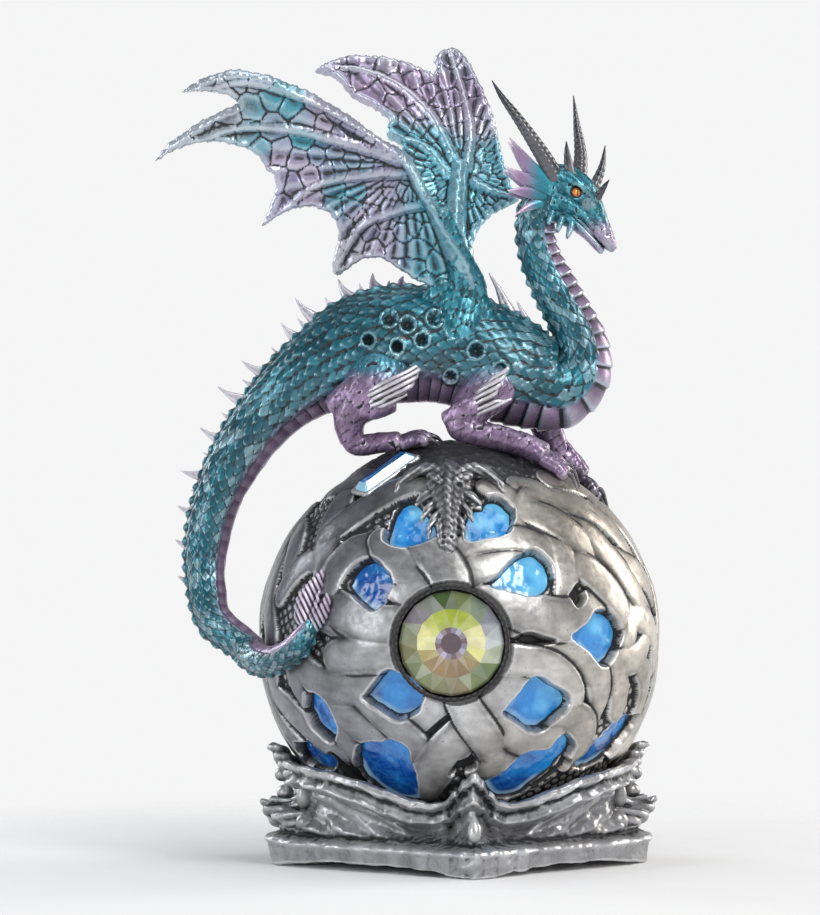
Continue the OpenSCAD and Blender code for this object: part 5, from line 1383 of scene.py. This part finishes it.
def head():
    rows = [(19.6, 0, 55, 3.9, 4), (21.6, -0.2, 59.4, 4.2, 4.6), (25.4, -0.8, 61.4, 4.6, 4.4),
            (28.8, -1.6, 59.8, 4.2, 3.9), (31.4, -2.3, 56, 3.1, 3.1), (33.2, -2.8, 52.4, 2.5, 2.5),
            (35, -3.3, 48.8, 2.2, 2.0), (36.6, -3.8, 45.8, 1.4, 1.3)]
    parts = [part(rows, 32, 0.3)]
    parts.append(part([(22.6, -0.6, 56, 3.4, 2.8), (26.6, -1.3, 53.6, 2.9, 2.3),
                       (30.2, -2.2, 50.6, 2.0, 1.6), (32.8, -3, 47.4, 1.4, 1.1),
                       (34.2, -3.4, 45.2, 0.7, 0.6)], 26, 0.3))
    for s in (-1, 1):
        cy = lambda x: -1.0 - (x - 25) * 0.22
        parts.append(part([(22.6, s * 3.6, 63.4, 0.9, 0.9), (26.2, cy(26) + s * 4.0, 63.0, 1.1, 1.2),
                           (29.8, cy(30) + s * 3.5, 60.2, 0.9, 1.0),
                           (32, cy(32) + s * 2.3, 57.4, 0.4, 0.5)], 18, 0.3))
        parts.append(part([(22.6, cy(23) + s * 3.6, 57.6, 1.6, 2.2), (26, cy(26) + s * 3.7, 56.4, 1.4, 1.6),
                           (29.6, cy(30) + s * 2.8, 54.2, 0.9, 0.9),
                           (32.4, cy(32) + s * 2.1, 51, 0.5, 0.6)], 18, 0.3))
        parts.append(part([(32.6, cy(33) + s * 1.7, 53.2, 0.6, 0.6),
                           (34.4, cy(34) + s * 1.5, 50.4, 0.95, 0.9),
                           (35.8, cy(36) + s * 1.1, 48, 0.7, 0.7)], 16, 0.3))
        for k in range(3):
            parts.append(part([(22.4 + k * 2.4, cy(24) + s * 3.0, 54.8 - k * 1.3, 0.8, 0.8),
                               (21.4 + k * 2.4, cy(24) + s * 4.4, 51.8 - k * 1.5, 0.25, 0.25)], 12, 0.3))
    parts.append(part([(23, -0.5, 65.6, 0.6, 0.8), (27.4, -1.4, 64.6, 0.8, 1.0), (31, -2.2, 60.4, 0.6, 0.8),
                       (34.4, -3.1, 53.4, 0.4, 0.7)], 14, 0.3))

    def shape(V, N):
        for s in (-1, 1):
            c = fig((28.0, -1.7 + s * 4.3, 59.4))
            q = np.linalg.norm(V - c, axis=1)
            V = V - N * (1.3 * step(2.1, 0.5, q))[:, None]
            c = fig((35.4, -3.3 + s * 1.6, 49.2))
            q = np.linalg.norm(V - c, axis=1)
            V = V - N * (0.9 * step(0.9, 0.1, q))[:, None]
        # the line of the mouth
        a, b = fig((36.4, 0, 44.6)), fig((26, 0, 55.2))
        e = (b - a) / np.linalg.norm(b - a)
        rel = V - a
        along = rel @ e
        off = np.abs(rel[:, 0] * e[2] - rel[:, 2] * e[0])
        return V - N * (0.7 * step(0.55, 0.0, off) * step(-0.5, 0.6, along) * step(13.5, 12.5, along))[:,
                None]

    def paint_of(V, N, idx):
        tone = hash01(idx, 5)
        x, z = V[:, 0], V[:, 2] - CROWN
        p = mix(DEEP, TEAL, np.clip(0.3 + 0.6 * tone + 0.4 * noise(V, 4, 3), 0, 1))
        p = mix(p, CYAN, 0.5 * step(0.5, 0.9, tone))
        snout = step(53.5, 49.5, z - 0.2 * (x - 30))
        p = mix(p, mix(PLUM, LILAC, tone), snout * 0.85)
        p = mix(p, PALE, 0.35 * step(0.2, 0.7, noise(V, 3, 8)) * step(24, 30, x))
        return p, 0.02 * np.ones(len(V))
    skin_piece("dragon_skull", parts, 0.21, paint_of, ["dragon_head"], SCALES, 1.05, 0.2,
               (-0.6, 0, 0.8), relax=1, sharp=0.09, shape=shape)
    # eyes: glossy, with a slit
    for s, name in ((-1, "near"), (1, "far")):
        c = fig((27.9, -1.7 + s * 3.3, 59.3))
        V, F = ball(c, 1.3 * FIG, 40)
        d = unit(V - c)
        look = unit(np.array([0.35, s * 0.93, 0.05]))
        a = np.arccos(np.clip(d @ look, -1, 1))
        e = np.abs(d @ unit(np.cross(look, [0, 0, 1])))
        p = mix((0.9, 0.45, 0.02), (0.75, 0.12, 0.01), step(0.2, 0.75, a))
        p = mix(p, (0.01, 0.01, 0.01), step(0.2, 0.1, e) * step(0.75, 0.6, a))
        p = mix(p, (0.03, 0.02, 0.01), step(0.8, 1.0, a))
        build(name + "_eye", V, F, p, 0.5, EYE, ["dragon_eyes"] if s < 0 else ())


def horns():
    sets = [("crown_horns", ["long_horns"], HORN, [
        [(23.4, -3, 62.6, 2.3, 2.2), (19.8, -4.4, 68.6, 1.9, 1.9), (14.6, -6, 76.2, 1.25, 1.3),
         (10.4, -7, 81.8, 0.7, 0.75), (7.8, -7.4, 86, 0.12, 0.12)],
        [(28.8, 1.8, 62, 2.1, 2.1), (29.4, 3.2, 68.6, 1.6, 1.6), (28.6, 4.8, 76, 0.9, 0.9),
         (27.8, 5.6, 83.4, 0.12, 0.12)]]),
        ("brow_spikes", ["small_horns"], HORN, [
            [(26.6, -4, 63.6, 1.3, 1.3), (25.9, -4.9, 68.4, 0.8, 0.8), (25.7, -5.4, 71.6, 0.12, 0.12)],
            [(32, -1, 59.8, 1.5, 1.5), (34.4, 0, 65.6, 0.9, 0.9), (35.3, 1, 71, 0.12, 0.12)],
            [(32.6, -3.4, 57.2, 1.1, 1.1), (34.6, -4.7, 60.4, 0.7, 0.7), (36, -5.4, 62.4, 0.1, 0.1)]])]
    for name, nodes_, mat, items in sets:
        parts = []
        for rows in items:
            d = tube([figrow(*q) for q in rows], 0.12, 28)
            ring = 0.05 * np.sin(d["s"] * 4.2 + 0.8 * np.sin(d["th"])) * np.clip(d["r"] / 1.2, 0, 1)
            flute = 0.05 * np.sin(d["th"] * 5) * np.clip(d["r"], 0, 1)
            parts.append((d["V"] + d["O"] * (ring + flute)[:, None], d["F"]))
        V, F = join(parts)
        paint = mix((0.035, 0.036, 0.042), (0.14, 0.14, 0.155), step(0.2, 0.8, noise(V, 3, 3)) * 0.5)
        build(name, V, F, paint, crease(V, F, 4, 0.05), mat, nodes_)
    # the ears are webbed frills
    parts = []
    for s in (-1, 1):
        for rows in ([(22, s * 3.2, 60.6, 1.4, 1.8), (17, s * 5.2, 65.6, 0.6, 1.7),
                      (12, s * 7.4, 72.4, 0.15, 0.2)],
                      [(21.6, s * 3.4, 59.6, 1.2, 1.7), (16, s * 5.8, 62.4, 0.55, 1.6),
                       (10.6, s * 8, 65.4, 0.15, 0.2)],
                     [(21, s * 3.4, 58.4, 1.1, 1.5), (16, s * 5.8, 59.4, 0.5, 1.4),
                      (11.4, s * 8, 59.6, 0.15, 0.2)],
                      [(20.6, s * 3.4, 57, 1, 1.3), (17, s * 5.4, 56, 0.5, 1.1),
                       (13.6, s * 7, 54, 0.15, 0.2)]):
            parts.append(part(rows, 20, 0.25))
    V, F = fused(parts, 0.22, 1)
    x = V[:, 0]
    paint = mix(mix(TEAL, PLUM, step(20, 15, x)), LILAC, step(15, 11, x) * 0.7)
    build("ear_webs", V, F, paint, np.clip(crease(V, F, 7, 0.16) + 0.02, 0, 1), SKIN,
          ["ear_frills"])


EYE = coat("eye_gloss", metallic=0.0, rough=0.08, mottling=0.05, grain=500, bump=0.02, clear=1.0,
           edge_highlight_amount=0.0, crease_shade_at=(0.9, 1.0), dirt=0)
SPIKE_LINE = [((14, 24.5), (8, 38.5)), ((18.4, 19.5), (14.5, 31.8)), ((21.8, 15.5), (20.2, 24.6)),
              ((-13, 35.4), (-13.4, 39)), ((-19, 34.5), (-20.6, 39.6)), ((-24, 32), (-28.6, 38)),
              ((-31, 26.5), (-38.6, 33.4)), ((-35.6, 22.5), (-42.2, 27.6)),
              ((-42.4, 14.5), (-51.4, 18.6)), ((-47.6, 8), (-57, 12.2)), ((-53, -1), (-61.4, 2.4)),
              ((-56.6, -8.6), (-66, -7.6)), ((-59, -18), (-66.8, -16.2)),
              ((-60, -26.5), (-67.4, -24.4)), ((-60.2, -34.5), (-66.8, -33)),
              ((-58.6, -42.5), (-63.8, -41.4))]


def spikes():
    parts = []
    for k, (a, b) in enumerate(SPIKE_LINE):
        y = 0 if k < 11 else (-0.4, -1.2, -2, -3.4, -6.4)[k - 11]
        items = [(np.array(a, float), np.array(b, float), 1.0)]
        if 3 <= k < len(SPIKE_LINE) - 1:
            a2, b2 = SPIKE_LINE[k + 1]
            m = (np.array(a, float) + a2) / 2
            t = (np.array(b, float) + b2) / 2 - m
            items.append((m + t * 0.08, m + t * 0.72, 0.62))
        for root, tip, size in items:
            v = tip - root
            n = np.array([-v[1], v[0]]) / np.linalg.norm(v)
            hook = n * (0.9 if k >= 3 else -0.8) * size
            pts = [(root - v * 0.2, 1.5, 3.3), (root + v * 0.15 + hook * 0.3, 1.25, 2.7),
                   (root + v * 0.45 + hook * 0.7, 0.9, 1.75), (root + v * 0.8 + hook * 0.7, 0.45, 0.8),
                   (tip + v * 0.12, 0.1, 0.12)]
            rows = [(p[0], y, p[1], ra * size, rb * size) for p, ra, rb in pts]
            clear = [laid(q, 0.2, False) for q in rows]
            d = tube(clear, 0.22, 24)
            rib = 0.07 * np.cos(d["th"] * 5) * np.clip(d["r"], 0, 1) + 0.1 * fbm(d["V"], 1.6, 3, 2)
            parts.append((d["V"] + d["O"] * rib[:, None], d["F"]))
    V, F = join(parts)
    seeds = np.array([fig((a[0], 0, a[1])) for a, _ in SPIKE_LINE])
    q = np.linalg.norm(V[:, None] - seeds[None], axis=2).min(1)
    paint = mix(mix((0.03, 0.2, 0.27), PLUM, step(1, 3, q)), (0.66, 0.64, 0.7), step(2.6, 6, q))
    build("crest_spikes", V, F, paint, np.clip(crease(V, F, 5, 0.1) + 0.02, 0, 1), SKIN,
          ["back_spikes"])


def tail_fin():
    def on(x, z, y, a, b, lift=1.3):
        p = unit(fig((x, y, z)) - OC) * (R + lift) + OC
        return (*p, a, b)
    parts = []
    for rows in ([on(-35.4, -45, -35, 1.6, 1.3), on(-36.6, -40.5, -35, 2.8, 1.1),
                  on(-36.2, -36, -34.6, 2.6, 1.0), on(-34, -32.6, -34, 1.4, 0.8),
                  on(-31.6, -30.6, -33, 0.3, 0.3)],
                 [on(-35, -44.6, -35, 1.5, 1.2), on(-32.4, -42, -35.6, 1.7, 1.0),
                  on(-30.6, -38.8, -36, 1.2, 0.8), on(-31, -36.2, -36, 0.3, 0.3)],
                 [on(-36, -44, -35, 1.4, 1.1), on(-39, -41, -33, 1.5, 0.9), on(-39.6, -37, -32, 0.9, 0.7),
                  on(-38.6, -34.4, -32, 0.3, 0.3)],
                 [on(-35.6, -42, -35, 0.8, 1.8), on(-34, -38.6, -35.4, 0.7, 1.9),
                  on(-33.4, -35.4, -35, 0.4, 1.4)]):
        d = tube(rows, 0.3, 24, (1, 0, 0))
        parts.append((d["V"], d["F"]))
    V, F = fused(parts, 0.22, 1)
    N = normals(V, F)
    V = V + N * (0.16 * np.sin((V[:, 2] * 0.8 + V[:, 0] * 1.6) * 3.0))[:, None]
    paint = mix(PLUM, LILAC, np.clip(0.5 + 0.7 * noise(V, 3, 5), 0, 1))
    paint = mix(paint, CYAN, 0.6 * step(CROWN - 42, CROWN - 45, V[:, 2]))
    build("tail_leaf", V, F, paint, np.clip(crease(V, F, 5, 0.1) + 0.03, 0, 1), SKIN,
          ["tail_fin"])


body()
legs()
head()
horns()
spikes()
tail_fin()


# ---------------------------------------------------------------- wings
NEAR_WING = [(5, 0), (2.6, 7), (-3, 15), (-8, 23), (-11, 29), (-14, 32), (-18, 34), (-25, 39), (-35, 45),
             (-45, 49), (-53, 50.2), (-60, 48.6), (-66, 45), (-61.5, 45.6),
             (-55, 44.6), (-52, 42.4), (-56, 41), (-62, 38), (-69, 33.6), (-72.6, 29), (-68.6, 31.6),
             (-63, 33.6), (-57, 34), (-50, 32), (-47, 29.6), (-46, 27), (-44.2, 26.6),
             (-43.6, 23), (-45.2, 19), (-47.4, 13.8), (-43.6, 16.6), (-40, 18.4), (-35, 19), (-31, 17.6),
             (-29.2, 15), (-28.8, 12), (-30.4, 6), (-30.6, 3.4), (-29, 2.4), (-26, 5),
             (-22, 7), (-18.6, 7), (-15.4, 5), (-10, 1.6), (-3, -1)]
FAR_WING = [(6, 0), (4, 6), (3.4, 11), (5, 15), (8.4, 18.6), (15.2, 22), (13, 26), (11, 33), (9, 43),
            (6, 51), (2, 59), (-1, 61), (-4, 60), (-6.4, 57.6), (-5, 56), (-6, 53.6),
            (-10, 56), (-17, 58.4), (-24, 59.2), (-30, 58.4), (-35.8, 55), (-30, 53), (-26, 48),
            (-21, 45.4), (-16.6, 42), (-18, 39.4), (-17, 37.4), (-14, 36.4), (-14.4, 34),
            (-12, 27), (-8, 17), (-6, 6)]
NEAR_FINGERS = [[(-11, 30), (-22, 37.6), (-35, 43.4), (-50, 47.4), (-64, 45.4)],
                [(-12, 29), (-26, 33.6), (-42, 37), (-56, 36.4), (-71, 30.4)],
                [(-12, 27), (-23, 26.4), (-34, 24), (-46, 15.4)],
                [(-8, 20), (-17, 17.6), (-24, 14), (-29.6, 4.4)]]
FAR_FINGERS = [[(0, 30), (-6, 42), (-14, 50), (-24, 55), (-34, 55.4)],
               [(2, 30), (3, 38), (2, 46), (-2, 60)], [(4, 26), (8, 24), (13.6, 22.4)],
               [(-2, 28), (-8, 35), (-16, 38)]]
NEAR_ARM = [(2.4, 1.4), (-0.6, 8), (-5, 18), (-9, 25), (-12, 30.4)]
FAR_ARM = [(1.4, 1.4), (-0.6, 9), (-0.6, 18), (0.4, 30)]


def to_line(P, line):
    """Distance in the plane to a smooth line, and how far along it."""
    L = curve(np.array(line, float), 0.5)
    d = np.linalg.norm(P[:, None] - L[None], axis=2)
    k = d.argmin(1)
    return d[np.arange(len(P)), k], k / (len(L) - 1)


def inside(P, ring):
    a, b = ring, np.roll(ring, -1, 0)
    x, y = P[:, :1], P[:, 1:2]
    cross = ((a[:, 1] > y) != (b[:, 1] > y)) & (x < (b[:, 0] - a[:, 0]) * (y - a[:, 1])
                                                / (b[:, 1] - a[:, 1] + 1e-12) + a[:, 0])
    return cross.sum(1) % 2 == 1


def wing(name, node_name, s, outline, fingers, arm, wrist, paint_of, seed):
    ring = np.array(outline, float)
    steps = []
    for a, b in zip(ring, np.roll(ring, -1, 0)):
        n = max(1, int(np.linalg.norm(b - a) / 0.6))
        steps += [a + (b - a) * k / n for k in range(n)]
    ring = np.array(steps)
    for _ in range(3):
        ring = ring * 0.5 + (np.roll(ring, 1, 0) + np.roll(ring, -1, 0)) * 0.25
    ring = ring + 0.12 * np.stack([np.sin(np.arange(len(ring)) * 1.3), np.cos(np.arange(len(ring)) * 1.7)],
                                  1)
    gap = 0.42
    lo, hi = ring.min(0), ring.max(0)
    gx, gy = np.meshgrid(np.arange(lo[0], hi[0], gap), np.arange(lo[1], hi[1], gap * 0.866), indexing="xy")
    gx = gx + (np.arange(gx.shape[0]) % 2)[:, None] * gap / 2
    G = np.stack([gx.ravel(), gy.ravel()], 1)
    G = G[inside(G, ring)]
    G = G[np.linalg.norm(G[:, None] - ring[None], axis=2).min(1) > gap * 0.6]
    pts = np.vstack([ring, G])
    nr = len(ring)
    out = geometry.delaunay_2d_cdt([Vector(q) for q in pts], [], [list(range(nr))], 1, 1e-5)
    P = np.array([tuple(v) for v in out[0]])
    tri = np.array([list(f) for f in out[2] if len(f) == 3])
    e1, e2 = P[tri[:, 1]] - P[tri[:, 0]], P[tri[:, 2]] - P[tri[:, 0]]
    turn = e1[:, 0] * e2[:, 1] - e1[:, 1] * e2[:, 0]
    tri = np.where((turn < 0)[:, None], tri[:, ::-1], tri)
    rim = np.linalg.norm(P[:, None] - ring[None], axis=2).min(1)
    rim = np.where(rim < 1e-3, 0, rim)
    # uneven cells, small by the wrist
    rng = np.random.default_rng(seed)
    cand = rng.uniform(lo, hi, (9000, 2))
    cand = cand[inside(cand, ring)]
    want = 1.7 + 3.0 * np.clip(np.linalg.norm(cand - wrist, axis=1) / 34, 0, 1)
    kept = []
    for c, w in zip(cand, want):
        if all((c[0] - q[0]) ** 2 + (c[1] - q[1]) ** 2 > w * w for q in kept):
            kept.append(c)
    kept = np.array(kept)
    wob = np.stack([noise(np.c_[P, P[:, :1] * 0], 2.4, 3), noise(np.c_[P, P[:, :1] * 0], 2.4, 4)], 1) * 0.35
    border, cell = cells(np.c_[P + wob, np.zeros(len(P))], np.c_[kept, np.zeros(len(kept))])
    pillow = 1 - (1 - np.clip(border / 1.3, 0, 1)) ** 2
    relief = 0.42 * pillow - 0.3 * step(0.35, 0.0, border)
    bones = np.zeros(len(P))
    close = np.full(len(P), 99.0)
    for f in fingers:
        d, t = to_line(P, f)
        w = 1.75 * (1 - 0.62 * t)
        knob = 1 + 0.12 * np.sin(t * 26)
        bones = np.maximum(bones, 1.25 * (1 - 0.45 * t) * knob * np.sqrt(np.clip(1 - (d / w) ** 2, 0, 1)))
        close = np.minimum(close, d)
    d, t = to_line(P, arm)
    w = 3.2 - 0.9 * t
    bones = np.maximum(bones, 2.5 * np.sqrt(np.clip(1 - (d / w) ** 2, 0, 1)))
    close = np.minimum(close, d)
    sag = -1.5 * (1 - np.exp(-close / 5)) * step(0, 5, rim) + 0.5 * fbm(np.c_[P, P[:, :1] * 0], 14, 8, 2)
    folds = 0.3 * np.sin(np.arctan2(P[:, 1] - wrist[1], P[:, 0] - wrist[0]) * 44) * step(3, 12,
            np.linalg.norm(P - wrist, axis=1)) * (bones < 0.1)
    edge = np.sqrt(np.clip(1 - (1 - np.clip(rim / 1.1, 0, 1)) ** 2, 0, 1))
    lip = 0.55 * np.exp(-((rim - 1.0) / 0.75) ** 2)
    thick = edge * (0.75 + relief * (bones < 0.15) + 0.35 * relief * (bones >= 0.15) + bones + lip)
    plane_y = s * (4.4 + 0.488 * P[:, 1])
    mid = sag + folds

    def place(t):
        # s = -1: near wing, leaning to -Y; the relief grows to both faces
        return np.stack([P[:, 0], plane_y - 0.899 * t, 36.6 + P[:, 1] + s * 0.438 * t],
                        1) * FIG + np.array([0, 0, CROWN])
    front, rear = place(mid + thick), place(mid - thick)
    n = len(P)
    index = np.arange(n) + n
    flat = rim == 0
    index[flat] = np.arange(n)[flat]
    V = np.vstack([front, rear])
    F = np.vstack([tri, index[tri[:, ::-1]]])
    used, inv = np.unique(F.ravel(), return_inverse=True)
    V, F = V[used], inv.reshape(F.shape)
    src = (used % n)
    cav = crease(V, F, 3, 0.1) * 0.45 + crease(V, F, 12, 0.4) * 0.55
    # painted shade in the grooves between cells, painted highlight on the raised cells and bones
    cav = cav + (0.26 * step(0.42, 0.05, border) * (bones < 0.9) - 0.06 * pillow)[src] - (0.12
            * step(0.2, 1.2, bones))[src]
    tone = hash01(cell, 3)[src]
    p2 = P[src]
    paint = paint_of(p2, tone, bones[src], V)
    build(name, V, F, paint, np.clip(cav, 0, 1), WING, [node_name])


def near_paint(P, tone, bones, V):
    x, z = P[:, 0], P[:, 1]
    n1, n2 = noise(V, 9, 5), noise(V, 16, 6)
    p = mix(TEAL, CYAN, np.clip(0.2 + 0.7 * tone + 0.3 * n1, 0, 1))
    p = mix(p, PLUM, 0.8 * step(-0.05, 0.5, n2 + 0.5 * tone - 0.15) * step(-8, -18, x))
    p = mix(p, LILAC, 0.6 * step(0.55, 1.0, tone) * step(-10, -24, x))
    p = mix(p, (0.42, 0.41, 0.46), step(-42, -62, x + 5 * n1) * 0.85)
    p = mix(p, (0.42, 0.43, 0.47), 0.75 * step(18, 8, z + 3 * n1) * step(-19, -28, x))
    p = mix(p, PALE, 0.3 * step(0.2, 1.0, bones) * step(-14, -34, x))
    return mix(p, DEEP, 0.5 * step(-2, 4, x) * step(16, 4, z))


def far_paint(P, tone, bones, V):
    z = P[:, 1]
    n1, n2 = noise(V, 9, 15), noise(V, 14, 16)
    p = mix(TEAL, CYAN, np.clip(0.25 + 0.7 * tone + 0.3 * n1, 0, 1))
    p = mix(p, LILAC, 0.85 * step(0.0, 0.5, n2 + 0.2) * step(24, 34, z))
    p = mix(p, PLUM, 0.85 * step(40, 48, z + 4 * n1))
    p = mix(p, PALE, 0.5 * step(50, 60, z + 3 * n1) * tone + 0.35 * step(0.3, 1.0, bones) * step(40, 52, z))
    return mix(p, DEEP, 0.5 * step(14, 4, z))


def shoulders():
    """Muscle from the back up into each wing's arm."""
    for s, name, arm in ((-1, "near_shoulder", NEAR_ARM), (1, "far_shoulder", FAR_ARM)):
        rows = [(-1, s * 3.0, 22, 6.5, 8), (-0.5, s * 4.6, 27, 5.2, 7), (0.6, s * 5.0, 32, 3.6, 5.6),
                (1.6, s * 5.2, 37, 2.8, 4.4)]
        rows += [(x, s * (4.4 + 0.488 * q), 36.6 + q, r, r) for (x, q), r in zip(arm[1:3], (2.5, 2.0))]
        parts = [part(rows, 32), part([(9, s * 4, 21, 3, 3.4), (6, s * 4.8, 29, 2.2, 3), (3, s * 5.6, 36,
                1.6, 2.2)], 24),
                 part([(-13, s * 3, 29, 2.6, 3.4), (-7, s * 4.2, 32.4, 2.0, 2.6),
                       (-3, s * 5.2, 38, 1.3, 1.8)], 24)]

        def paint_of(V, N, idx):
            tone = hash01(idx, 8)
            p = mix(DEEP, TEAL, np.clip(0.25 + 0.7 * tone + 0.3 * noise(V, 6, 3), 0, 1))
            return mix(p, CYAN, 0.5 * step(0.6, 0.95, tone)), 0.03 * np.ones(len(V))
        skin_piece(name, parts, 0.34, paint_of, (), SCALES, 1.7, 0.42, (-0.3, 0, -1))


shoulders()
wing("near_wing_skin", "near_wing", -1, NEAR_WING, NEAR_FINGERS, NEAR_ARM, np.array([-12.0, 29.0]),
     near_paint, 11)
wing("far_wing_skin", "far_wing", 1, FAR_WING, FAR_FINGERS, FAR_ARM, np.array([1.0, 29.0]), far_paint, 12)


# ---------------------------------------------------------------- the light unit, as drawn
def unit_skins():
    black = coat("moulded_black", (0.03, 0.031, 0.034), metallic=0.0, rough=0.5, edge_highlight_amount=0.1,
                 mottling=0.12, grain=1600, bump=0.12, clear=0.0, dirt=0.1)
    white = coat("moulded_white", (0.8, 0.8, 0.78), metallic=0.0, rough=0.42, edge_highlight_amount=0.05,
                 mottling=0.05, grain=1600, bump=0.06, clear=0.1, dirt=0.1)
    board = coat("board_green", (0.02, 0.16, 0.07), metallic=0.0, rough=0.4, edge_highlight_amount=0.05,
                 mottling=0.15, grain=1200, bump=0.05, clear=0.3, dirt=0.1)
    dome = coat("led_lens", (0.5, 0.75, 0.95), metallic=0.0, rough=0.12, edge_highlight_amount=0.05, mottling=0.05,
                grain=900, bump=0.02, clear=0.6, dirt=0.0)
    steel = coat("bright_steel", (0.6, 0.6, 0.61), metallic=1.0, rough=0.26, edge_highlight_amount=0.2, mottling=0.1,
                 grain=1400, bump=0.06, clear=0.0, dirt=0.15)
    brass = coat("spring_brass", (0.75, 0.52, 0.2), metallic=1.0, rough=0.28, edge_highlight_amount=0.2,
                 mottling=0.12, grain=1400, bump=0.06, clear=0.0, dirt=0.15)
    for names, m in ((("puck_case", "puck_lid", "battery_door", "switch_body"), black),
                     (("switch_knob",), white), (("led_board",), board), (("led",), dome),
                     (("button_cells", "lid_screws", "wing_pins"), steel), (("cell_contacts",), brass)):
        for n in names:
            NODES[n].data.materials.clear()
            NODES[n].data.materials.append(m)


unit_skins()


# ---------------------------------------------------------------- stage
CAMERA_AT = (-0.01195, -1.1, 0.09866)
SENSOR, LENS = 36, 177.4
AIM_LOW, AIM_MID, AIM_HIGH = (0, 0, 0.09), (0, 0, 0.1), (0, 0, 0.12)
SKY_WHITE, SKY_DIM = (0.915, 0.915, 0.92), (0.2, 0.21, 0.225)
FLOOR_TINT = (0.93, 0.93, 0.935, 1)
FLOOR_RINGS = (0.0, 0.08, 0.16, 0.3)
FLOOR_FADE = (0.075, 0.22)
FLOOR_SIDES = 96
FLOOR_DROP = 0.0001
# name, watts, place, aim, size, colour
LIGHTS = [
    ("key", 5.6, (0.45, -0.75, 0.75), AIM_LOW, (0.35, 0.5), (1, 0.985, 0.96)),
    ("fill", 2.2, (-0.8, -0.6, 0.35), AIM_MID, (0.25, 0.6), (0.95, 0.98, 1)),
    ("rim_right", 3.0, (0.75, 0.35, 0.35), AIM_MID, (0.3, 0.5), (1, 0.94, 0.86)),
    ("rim_left", 2.2, (-0.7, 0.5, 0.4), AIM_HIGH, (0.3, 0.5), (0.95, 0.98, 1)),
    ("top", 2.6, (0, -0.1, 1.0), AIM_MID, (0.7, 0.7), (1, 1, 1))]


def add_light(name, energy, place, aim, size, colour):
    d = bpy.data.lights.new(name, "AREA")
    d.energy = energy
    d.color = colour
    d.shape = "RECTANGLE"
    d.size, d.size_y = size
    o = bpy.data.objects.new(name, d)
    bpy.context.scene.collection.objects.link(o)
    o.location = place
    o.rotation_mode = "QUATERNION"
    o.rotation_quaternion = (Vector(aim) - Vector(place)).to_track_quat("-Z", "Y")
    return o


def stage():
    scene = bpy.context.scene
    scene.view_settings.view_transform = "Standard"
    cam = bpy.data.objects.new("camera", bpy.data.cameras.new("camera"))
    scene.collection.objects.link(cam)
    cam.location = CAMERA_AT
    cam.rotation_euler = (math.radians(90), 0, 0)
    cam.data.sensor_width = SENSOR
    cam.data.lens = LENS
    cam.data.clip_start, cam.data.clip_end = 0.05, 30
    scene.camera = cam
    world = bpy.data.worlds.new("studio")
    scene.world = world
    world.use_nodes = True
    nt = world.node_tree
    link = nt.links.new
    back = nt.nodes["Background"]
    co = node(nt, "ShaderNodeTexCoord").outputs["Generated"]
    sep = node(nt, "ShaderNodeSeparateXYZ")
    link(co, sep.inputs[0])
    up = ramp(nt, sep.outputs["Z"], 0.12, 0.32, 0.0, 1.0)
    c = blendc(nt, up, SKY_WHITE, SKY_DIM)
    link(c, back.inputs["Color"])
    for row in LIGHTS:
        add_light(*row)
    n = FLOOR_SIDES
    th = np.arange(n) * 2 * math.pi / n
    V = np.array([(r * math.cos(t), r * math.sin(t), 0) for r in FLOOR_RINGS for t in th])
    F = [(i * n + j, i * n + (j + 1) % n, (i + 1) * n + (j + 1) % n, (i + 1) * n + j)
         for i in range(len(FLOOR_RINGS) - 1) for j in range(n)]
    me = bpy.data.meshes.new("floor")
    me.from_pydata(V.tolist(), [], F)
    me.validate()
    floor = bpy.data.objects.new("floor", me)
    floor.location = (0, 0, cad_box[0].z - FLOOR_DROP)
    scene.collection.objects.link(floor)
    m = bpy.data.materials.new("pale_floor")
    m.use_nodes = True
    nt = m.node_tree
    link = nt.links.new
    bsdf = nt.nodes["Principled BSDF"]
    bsdf.inputs["Base Color"].default_value = FLOOR_TINT
    bsdf.inputs["Roughness"].default_value = 0.7
    bsdf.inputs["Specular IOR Level"].default_value = 0.15
    co = node(nt, "ShaderNodeTexCoord").outputs["Object"]
    ln = node(nt, "ShaderNodeVectorMath", operation="LENGTH")
    link(co, ln.inputs[0])
    clear = node(nt, "ShaderNodeBsdfTransparent")
    mixer = node(nt, "ShaderNodeMixShader")
    link(ramp(nt, ln.outputs["Value"], *FLOOR_FADE), mixer.inputs[0])
    link(bsdf.outputs[0], mixer.inputs[1])
    link(clear.outputs[0], mixer.inputs[2])
    link(mixer.outputs[0], nt.nodes["Material Output"].inputs["Surface"])
    me.materials.append(m)


stage()
